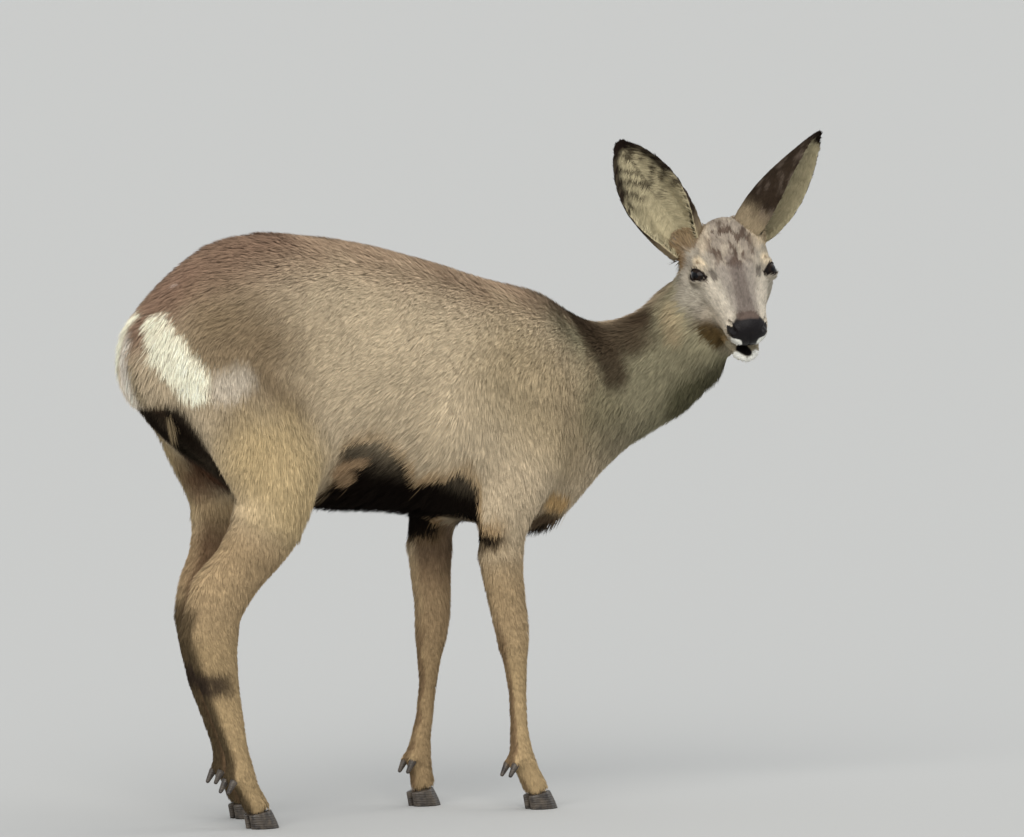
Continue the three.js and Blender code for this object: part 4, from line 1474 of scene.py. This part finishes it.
@dataclass
class Ears:
    """Both ears: smooth shells with short dark hair outside and long pale hair within."""

    animal: AnimalFrame
    nodes: dict
    voxel: float = 2.45
    outside: Colour = (0.028, 0.019, 0.0125)
    frost: Colour = (0.13, 0.1, 0.078)
    inside: Colour = (0.46, 0.4, 0.255)
    inside_gap: Colour = (0.03, 0.022, 0.014)
    tip: Colour = (0.014, 0.009, 0.007)
    base: Colour = (0.3, 0.235, 0.15)
    streak_step: float = 21.0  # from one dark streak of the hollow to the next
    BINS = 24  # stretches of the ear's length in which its width is measured
    surface: Surface = field(init=False)
    colours: Array = field(init=False)
    normals: Array = field(init=False)
    axis: Array = field(init=False)  # the way to the tip of the ear that each point is on
    side: Array = field(init=False)  # the way across it
    along: Array = field(init=False)  # share of the ear's length
    beside: Array = field(init=False)  # place across the ear, from its middle
    within: Array = field(init=False)  # 1 on the hollow face, 0 on the back
    rim: Array = field(init=False)  # how far the dark rim covers each point
    marked: Array = field(init=False)  # how strongly the hollow is marked with dark

    def build(self) -> None:
        """Makes the shells and reads off where each point lies on its ear."""
        solids = [node_arrays(self.animal, self.nodes[f"ear_{ear.side}"]) for ear in EARS]
        points, faces = joined(solids)
        self.surface = remeshed(points, faces, self.voxel)
        self.surface.points = self.surface.blur(self.surface.points, 4, 0.5)
        self.normals = self.surface.normals()
        self.surface.points = self.surface.points - 0.5 * self.normals
        self._place()
        self.colours = self._colour(self.surface.points)

    def _place(self) -> None:
        """Finds which ear each point belongs to, how far along it is, and on which face."""
        count = len(self.surface.points)
        self.along, self.beside, self.within = np.zeros(count), np.zeros(count), np.zeros(count)
        self.axis, self.side = np.zeros((count, 3)), np.zeros((count, 3))
        self.rim, self.marked = np.zeros(count), np.zeros(count)
        best = np.full(count, np.inf)
        for ear in EARS:
            axis, facing, across = ear.axes()
            share, beside = ear.place(self.surface.points)
            root = HEAD.outward(np.array([ear.root]))[0]
            spine = root + axis * share[:, None] * ear.length
            nearest = root + axis * np.clip(share, 0, 1)[:, None] * ear.length
            away = np.linalg.norm(self.surface.points - nearest, axis=1)
            mine = away < best
            best = np.where(mine, away, best)
            to_middle = unit(spine + facing * 30.0 - self.surface.points)
            self.within[mine] = np.sum(to_middle * self.normals, axis=1)[mine]
            self.along[mine], self.beside[mine] = share[mine], beside[mine]
            self.axis[mine], self.side[mine] = axis, across
            self.marked[mine] = ear.marked
            edge = np.minimum(*[self._to_edge(share, beside * way, mine) for way in (1.0, -1.0)])
            dark = ramp(edge, 10.0, 4.0) * ramp(share, ear.dark_rim, ear.dark_rim + 0.16)
            self.rim[mine] = np.maximum(self.rim[mine], dark[mine])

    def _to_edge(self, share: Array, beside: Array, mine: Array) -> Array:
        """How far each point of one ear is from the edge on the side where beside is above zero."""
        step = np.clip((share * self.BINS).astype(int), 0, self.BINS)
        widest = np.zeros(self.BINS + 1)
        np.maximum.at(widest, step[mine], np.maximum(beside[mine], 0.0))
        return np.interp(share * self.BINS, np.arange(self.BINS + 1) + 0.5, widest) - beside

    def _colour(self, points: Array) -> Array:
        """Colours of the shells."""
        colour = np.tile(np.array(self.outside), (len(points), 1))
        frost = ramp(NOISE.at(points, (9.0, 9.0, 22.0), 3), 0.0, 0.4)
        colour = mix(colour, np.array(self.frost), frost * 0.6 * ramp(self.along, 0.86, 0.7))
        colour = mix(colour, np.array(self.base), ramp(self.along + 0.05 * NOISE.at(points, 11.0), 0.2, 0.0))
        row = self.along * EARS[0].length - 0.9 * np.abs(self.beside) + 7.0 * NOISE.at(points, 15.0, 2)
        streak = ramp(np.abs(np.mod(row / self.streak_step, 1.0) - 0.5), 0.27, 0.14)
        streak = streak * ramp(NOISE.at(points, 13.0, 2), -0.5, -0.1)
        gap = np.maximum(streak, bump(self.beside, 0.0, 4.0))
        gap = gap * ramp(self.along + 0.1 * NOISE.at(points, 30.0), 0.28, 0.45) * self.marked
        hollow = mix(np.tile(np.array(self.inside), (len(points), 1)), np.array(self.inside_gap), gap * 0.9)
        colour = mix(colour, hollow, ramp(self.within, 0.1, 0.4))
        colour = mix(colour, np.array(self.tip), self.rim * 0.92)
        return mix(colour, np.array(self.tip), ramp(self.along + 0.04 * NOISE.at(points, 9.0), 0.82, 0.9))

    def hair(self, corner_uv: Array, rng: np.random.Generator) -> dict[str, Growth]:
        """Grows the ears' hair.

        Args:
            corner_uv: The shells' places on the skin's unwrap.
            rng: Source of chance.
        Returns:
            The long hair of the hollow, and the short hair of back and rim.
        """
        inner = ramp(self.within, 0.15, 0.4) * ramp(self.along, 0.98, 0.9)
        outward = np.sign(self.beside)[:, None] * self.side
        herring = self.axis * 0.8 - outward * ramp(np.abs(self.beside), 0, 9)[:, None]
        long_way = square_to(herring, self.normals)
        short_way = square_to(self.axis + outward * 0.3, self.normals)
        inside = self._grow(0.62 * inner, long_way, (11.5, 1.1, 2.8), corner_uv, rng)
        outside = self._grow(0.6 * (1 - inner), short_way, (6.0, 1.15, 0.9), corner_uv, rng)
        return {"coat_ears_inside": inside, "coat_ears_outside": outside}

    def _grow(self, density: Array, ways: Array, size: Point, uv: Array, rng: np.random.Generator) -> Growth:
        """Spreads one kind of hair, of a length, width and depth, over the shells."""
        roots = Scatter.over(self.surface, density, rng)
        normals = unit(roots.spread(self.normals))
        length, width, depth = (np.full(len(normals), part) for part in size)
        length = length * (1.0 - 0.4 * ramp(roots.spread(self.along), 0.75, 0.98))
        length = length * (1.0 - 0.5 * ramp(np.abs(roots.spread(self.within)), 0.6, 0.3))
        return Growth(
            roots=roots.spread(self.surface.points),
            normals=normals,
            ways=square_to(roots.spread(ways), normals),
            lengths=length,
            widths=width,
            depths=depth,
            colours=roots.spread(self.colours),
            uvs=roots.uvs(uv),
        )


# ---------------------------------------------------------------------------------------- coat


@dataclass(frozen=True)
class CoatPiece:
    """One joined mesh of tufts on some of the skin's parts."""

    name: str
    nodes: tuple[str, ...]
    slot: str
    side: int = 0  # 1 keeps the left half, -1 the right half


COAT_PIECES = (
    CoatPiece("coat_rump", ("rump", "tail"), "coat"),
    CoatPiece("coat_barrel_left", ("barrel",), "coat", 1),
    CoatPiece("coat_barrel_right", ("barrel",), "coat", -1),
    CoatPiece("coat_chest", ("chest",), "coat"),
    CoatPiece("coat_neck", ("neck",), "neck"),
    CoatPiece("coat_thighs", ("thigh_left", "thigh_right"), "coat"),
    CoatPiece("coat_shoulders", ("shoulder_left", "shoulder_right"), "coat"),
    CoatPiece("coat_hind_legs", ("gaskin", "hind_cannon", "hind_pastern"), "leg"),
    CoatPiece("coat_fore_legs", ("forearm", "fore_cannon", "fore_pastern"), "leg"),
    CoatPiece("coat_head", ("head", "lower_jaw", "nose_pad"), "face"),
)


class Kind(Enum):
    """The kinds of tuft."""

    PLAIN = TuftShape()
    RUMP_PATCH = TuftShape(0.16, 0.35, 8, 0.0, 0.85, 1.1, droop=0.03, long=True)
    FRINGE = TuftShape(0.3, 0.55, 12, 0.1, 0.9, 1.2, droop=0.16, long=True)
    EAR_ROOT = TuftShape(0.2, 0.4, 8, 0.1, 0.8, 1.2, droop=0.05, long=True)
    STRAND = TuftShape(0.06, 0.4, 20, 0.2, 0.7, 1.2, long=True)
    EAR_INSIDE = TuftShape(0.2, 0.55, 7, 0.05, 0.75, 1.3)


@dataclass
class Coat:
    """The coat over the skin, in joined pieces."""

    animal: AnimalFrame
    skin: Skin
    ears: Ears
    nodes: dict
    finish: CoatFinish = CoatFinish("coat_hair")
    strands: int = 260
    strand_hue: Colour = (0.32, 0.24, 0.14)
    ear_root_hue: Colour = (0.25, 0.175, 0.095)
    MUZZLE = (108.0, 0.0, -45.0)  # in the head's frame: the hair is shorter the nearer it is
    material: bpy.types.Material = field(init=False)
    rng: np.random.Generator = field(init=False)
    tufts: Tufts = field(init=False)

    def build(self) -> None:
        """Grows and shows each piece."""
        self.material = self.finish.material()
        self.rng = np.random.default_rng(SEED)
        self.tufts = Tufts(self.animal)
        names = np.array(self.skin.flesh())
        owner = names[self.skin.owner]
        for piece in COAT_PIECES:
            mine = np.zeros(len(owner), bool)
            for start in piece.nodes:
                mine |= (owner == start) | np.char.startswith(owner, start + "_")
            if piece.side:
                mine &= self.skin.surface.points[:, 1] * piece.side > 0
            self._piece(piece.name, self._grow(mine), Kind.PLAIN)
        self._rump_patch()
        self._belly_fringe()
        self._rump_tuft()
        self._ear_roots()
        ear_uv = self.skin.corner_uv[len(self.skin.surface.faces) :]
        kinds = {"coat_ears_inside": Kind.EAR_INSIDE, "coat_ears_outside": Kind.PLAIN}
        for name, grown in self.ears.hair(ear_uv, self.rng).items():
            self._piece(name, grown, kinds[name])

    def _piece(self, name: str, grown: Growth, kind: Kind) -> bpy.types.Object:
        """Makes one piece, dresses it and puts it on the body."""
        made = self.tufts.mesh(name, grown, kind.value, self.rng)
        made.data.materials.append(self.material)
        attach(made, "root")
        LOG.info("%s: %d tufts, %d faces", name, len(grown.roots), len(made.data.polygons))
        return made

    def _grow(self, mine: Array, density: Array | None = None) -> Growth:
        """Grows tufts on the skin's points that are chosen, at the parts' density or at one that is given."""
        skin = self.skin
        thick = skin.field("per_cm2") / 100.0 if density is None else density
        roots = Scatter.over(skin.surface, thick * (1 - skin.bare) * (1 - skin.folded) * mine, self.rng)
        points = roots.spread(skin.surface.points)
        normals = unit(roots.spread(skin.normals))
        colours = MARKINGS.colour(points, normals, roots.spread(skin.tints))
        x, y, z = points.T
        groin = ramp(x, -420, -450) * ramp(z, 545, 515) * ramp(np.abs(y), 60, 40)
        muzzle = np.linalg.norm(HEAD.inward(points) - np.array(self.MUZZLE), axis=1)
        shorter = (1.0 - 0.6 * ramp(muzzle, 70.0, 25.0)) * (1.0 - 0.55 * groin)
        return Growth(
            roots=points,
            normals=normals,
            ways=square_to(roots.spread(skin.flow), normals),
            lengths=roots.spread(skin.field("length")) * shorter,
            widths=roots.spread(skin.field("width")),
            depths=roots.spread(skin.field("depth")),
            colours=colours,
            uvs=roots.uvs(skin.corner_uv),
        )

    def _rump_patch(self) -> None:
        """Grows the long white hair on both sides of the tail."""
        points = self.skin.surface.points
        white = np.max([patch.cover(points) for patch in RUMP_PATCHES[:3]], axis=0)
        white = white * (1.0 - np.max([patch.cover(points) for patch in RUMP_PATCHES[-3:]], axis=0))
        grown = resized(self._grow(white > 0.4, 0.3 * white), 1.2, 0.62, 1.1)
        self._piece("coat_rump_patch", grown, Kind.RUMP_PATCH)

    def _belly_fringe(self) -> None:
        """Grows the shaggy hair of belly and breast."""
        points = self.skin.surface.points
        low = ramp(points[:, 2], 425, 395) * ramp(points[:, 2] - belly_edge(points), 30, 0)
        low = low * ramp(points[:, 0], -335, -310) * ramp(points[:, 0], -90, -110)
        low = low * self.skin.shares[:, PARTS.index(Part.TRUNK)]
        middle, spread = np.array([45.0, 0.0, 358.0]), np.array([34.0, 44.0, 18.0])
        breast = bump(np.linalg.norm((points - middle) / spread, axis=1), 0.0, 1.0)
        shaggy = np.maximum(low, breast)
        grown = resized(self._grow(shaggy > 0.2, 0.14 * shaggy), 1.15, 0.75, 1.4)
        hanging = square_to(grown.ways + np.array([-0.2, 0.0, -0.5]), grown.normals)
        self._piece("coat_belly_fringe", replace(grown, ways=hanging), Kind.FRINGE)

    def _ear_roots(self) -> None:
        """Grows the longer tan hair that closes round the roots of the ears."""
        points = self.skin.surface.points
        roots = [HEAD.outward(np.array([ear.root]))[0] + ear.axes()[0] * 6.0 for ear in EARS]
        near = np.max([ramp(np.linalg.norm(points - root, axis=1), 38.0, 26.0) for root in roots], axis=0)
        grown = self._grow(near > 0.1, 0.13 * near)
        away = np.stack([np.linalg.norm(grown.roots - root, axis=1) for root in roots], axis=1)
        axes = np.array([ear.axes()[0] for ear in EARS])[away.argmin(axis=1)]
        ways = square_to(0.8 * axes + 0.5 * grown.ways, grown.normals)
        full = np.ones(len(grown.roots))
        hues = mix(grown.colours, np.array(self.ear_root_hue), full * 0.6)
        grown = replace(
            grown, ways=ways, colours=hues, lengths=full * 17.0, widths=full * 1.3, depths=full * 6.0
        )
        self._piece("coat_ear_roots", grown, Kind.EAR_ROOT)

    def _rump_tuft(self) -> None:
        """Hangs the tuft of long hair below the tail, in place of its solid."""
        solid, _ = node_arrays(self.animal, self.nodes["rump_tuft"])
        high, low = solid[:, 2].max(), solid[:, 2].min()
        top = solid[solid[:, 2] > high - 0.3 * (high - low)].mean(axis=0)
        end = solid[solid[:, 2] < low + 0.2 * (high - low)].mean(axis=0)
        count = self.strands
        spread = self.rng.normal(0.0, 1.0, (count, 3)) * np.array([2.5, 3.2, 9.0])
        roots = top + np.array([8.0, -25.0, 20.0]) + spread
        ways = unit(end + np.array([8.0, -14.0, -10.0]) + self.rng.normal(0.0, 1.2, (count, 3)) - roots)
        normals = square_to(np.array([-1.0, 0.0, 0.0]) + self.rng.normal(0.0, 0.4, (count, 3)), ways)
        hue = np.array(self.strand_hue) * self.rng.uniform(0.55, 1.15, (count, 1))
        near = np.argmin(np.linalg.norm(self.skin.surface.points - top, axis=1))
        face = np.flatnonzero(np.any(self.skin.surface.faces == near, axis=1))[0]
        uvs = np.tile(self.skin.corner_uv[face].mean(axis=0), (count, 1))
        reach = (high - low) * self.rng.uniform(0.55, 1.0, count)
        grown = Growth(roots, normals, ways, reach, np.full(count, 1.4), np.full(count, 1.0), hue, uvs)
        made = self._piece("coat_rump_tuft", grown, Kind.STRAND)
        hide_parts("rump_tuft")


# ---------------------------------------------------------------------------------------- eyes and horn


@dataclass
class Eyeball:
    """A smooth eyeball with the cornea's bulge, a broad pupil and a dark brown iris."""

    animal: AnimalFrame
    seat: EyeSeat
    around: int = 96  # faces round the ball
    bulge: float = 0.9
    pupil: tuple[float, float] = (5.6, 3.6)  # half its width and half its height
    iris: Colour = (0.012, 0.0065, 0.004)
    rim: Colour = (0.006, 0.004, 0.003)  # outside the iris, mostly under the lids
    black: Colour = (0.003, 0.003, 0.004)

    def build(self, finish: bpy.types.Material) -> bpy.types.Object:
        """Makes and shows the eyeball in place of its solid.

        Args:
            finish: Its material.
        Returns:
            Its object.
        """
        name = "eye_left" if self.seat.side > 0 else "eye_right"
        points, faces = ball(np.zeros(3), self.seat.radius, self.around)
        facing, inner, up = self.seat.axes()
        way = unit(points)
        angle = np.arccos(np.clip(way @ facing, -1, 1))
        points = points + way * (self.bulge * ramp(angle, 0.75, 0.1))[:, None]
        along, above = way @ inner * self.seat.radius, way @ up * self.seat.radius
        hole = (along / self.pupil[0]) ** 2 + (above / self.pupil[1]) ** 2
        brown = np.tile(np.array(self.iris), (len(points), 1))
        colours = mix(brown, np.array(self.rim), ramp(angle, 0.5, 0.8))
        colours = mix(colours, np.array(self.black), ramp(hole, 1.15, 0.85))
        mesh = mesh_of(f"{name}_ball", self.animal.to_row(HEAD.outward(points + self.seat.centre())), faces)
        paint(mesh, "Coat", colours)
        mesh.materials.append(finish)
        made = show(mesh)
        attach(made, "root")
        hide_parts(name)
        return made


@dataclass
class Horn:
    """Hooves and dewclaws: the solids rounded off, with flat soles."""

    animal: AnimalFrame
    nodes: dict
    voxel: float = 0.95
    sole_height: float = 0.9  # points below this belong to the flat sole

    def build(self) -> int:
        """Makes and shows every claw.

        Returns:
            How many there are.
        """
        finish = HornFinish("hoof_horn").material()
        names = sorted(name for name in self.nodes if "hoof" in name or "dewclaw" in name)
        for name in names:
            points, faces = node_arrays(self.animal, self.nodes[name])
            surface = remeshed(points, faces, self.voxel)
            sole = surface.points[:, 2] < self.sole_height
            smooth = surface.blur(surface.points, 8, 0.5)
            smooth[sole, 2] = 0.0 if "hoof" in name else smooth[sole, 2]
            mesh = mesh_of(f"{name}_horn", self.animal.to_row(smooth), surface.faces)
            mesh.materials.append(finish)
            made = show(mesh)
            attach(made, "root")
            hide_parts(name)
        return len(names)


# ---------------------------------------------------------------------------------------- stage


@dataclass
class Stage:
    """Floor, soft light and camera."""

    animal: AnimalFrame
    target: Point = (0.0, 0.0, 481.0)
    azimuth: float = -35.0
    elevation: float = 3.5
    distance: float = 12000.0
    scale: float = 1.24  # millimetres at the animal for each pixel of the picture
    picture_width: int = 1024
    floor_size: float = 200.0  # metres
    sky: tuple = (0.92, 0.96, 1.0, 1.0)
    sky_strength: float = 0.77
    sun_colour: Colour = (1.0, 0.97, 0.92)
    suns: tuple = (  # name, strength, spread in degrees, and the way to it
        ("key", 2.35, 50.0, (-0.72, -0.72, 0.66)),
        ("fill", 0.7, 60.0, (0.7, -0.1, 0.7)),
    )

    def build(self) -> None:
        """Makes everything round the animal."""
        self._floor()
        self._lights()
        self._camera()

    def _floor(self) -> None:
        """Lays the floor."""
        half = self.floor_size / 2
        corners = np.array([[-half, -half, 0], [half, -half, 0], [half, half, 0], [-half, half, 0]])
        mesh = mesh_of("floor", corners, np.array([[0, 1, 2, 3]]))
        mesh.materials.append(FloorFinish("floor_paint").material())
        show(mesh)

    def _lights(self) -> None:
        """Sets two broad soft suns in a pale sky."""
        world = bpy.data.worlds.new("studio")
        world.use_nodes = True
        sky = next(n for n in world.node_tree.nodes if n.type == "BACKGROUND")
        sky.inputs["Color"].default_value = self.sky
        sky.inputs["Strength"].default_value = self.sky_strength
        bpy.context.scene.world = world
        for name, energy, angle, way in self.suns:
            lamp = bpy.data.lights.new(name, "SUN")
            lamp.energy = energy
            lamp.angle = math.radians(angle)
            lamp.color = self.sun_colour
            made = bpy.data.objects.new(name, lamp)
            made.rotation_mode = "QUATERNION"
            made.rotation_quaternion = Vector(way).to_track_quat("Z", "Y")
            bpy.context.scene.collection.objects.link(made)
        bpy.context.scene.view_settings.view_transform = "Standard"

    def _camera(self) -> None:
        """Sets the camera."""
        turn, lift = math.radians(self.azimuth), math.radians(self.elevation)
        back = Vector((math.sin(turn) * math.cos(lift), -math.cos(turn) * math.cos(lift), math.sin(lift)))
        target = Vector(self.animal.to_row(np.array(self.target)))
        lens = bpy.data.cameras.new("camera")
        lens.sensor_width = 36.0
        lens.lens = lens.sensor_width * self.distance / self.scale / self.picture_width
        lens.clip_end = 500.0
        camera = bpy.data.objects.new("camera", lens)
        camera.location = target + back * self.distance * MM
        camera.rotation_mode = "QUATERNION"
        camera.rotation_quaternion = back.to_track_quat("Z", "Y")
        bpy.context.scene.collection.objects.link(camera)
        bpy.context.scene.camera = camera


def main() -> None:
    """Builds the animal and its stage, in order."""
    logging.basicConfig(level=logging.INFO, format="%(message)s")
    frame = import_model()
    animal = AnimalFrame.from_record(frame["record"])
    nodes = frame["nodes"]
    Stage(animal).build()
    LOG.info("stage: floor, lights and camera")
    skin = Skin(animal, nodes)
    skin.build()
    ears = Ears(animal, nodes)
    ears.build()
    skin.finish(ears)
    LOG.info("skin: %d faces, ears %d", len(skin.surface.faces), len(ears.surface.faces))
    glass = EyeFinish("eye_glass").material()
    for seat in EYES:
        Eyeball(animal, seat).build(glass)
    LOG.info("eyes: %d", len(EYES))
    LOG.info("horn: %d claws", Horn(animal, nodes).build())
    Coat(animal, skin, ears, nodes).build()


if __name__ == "__main__":
    main()
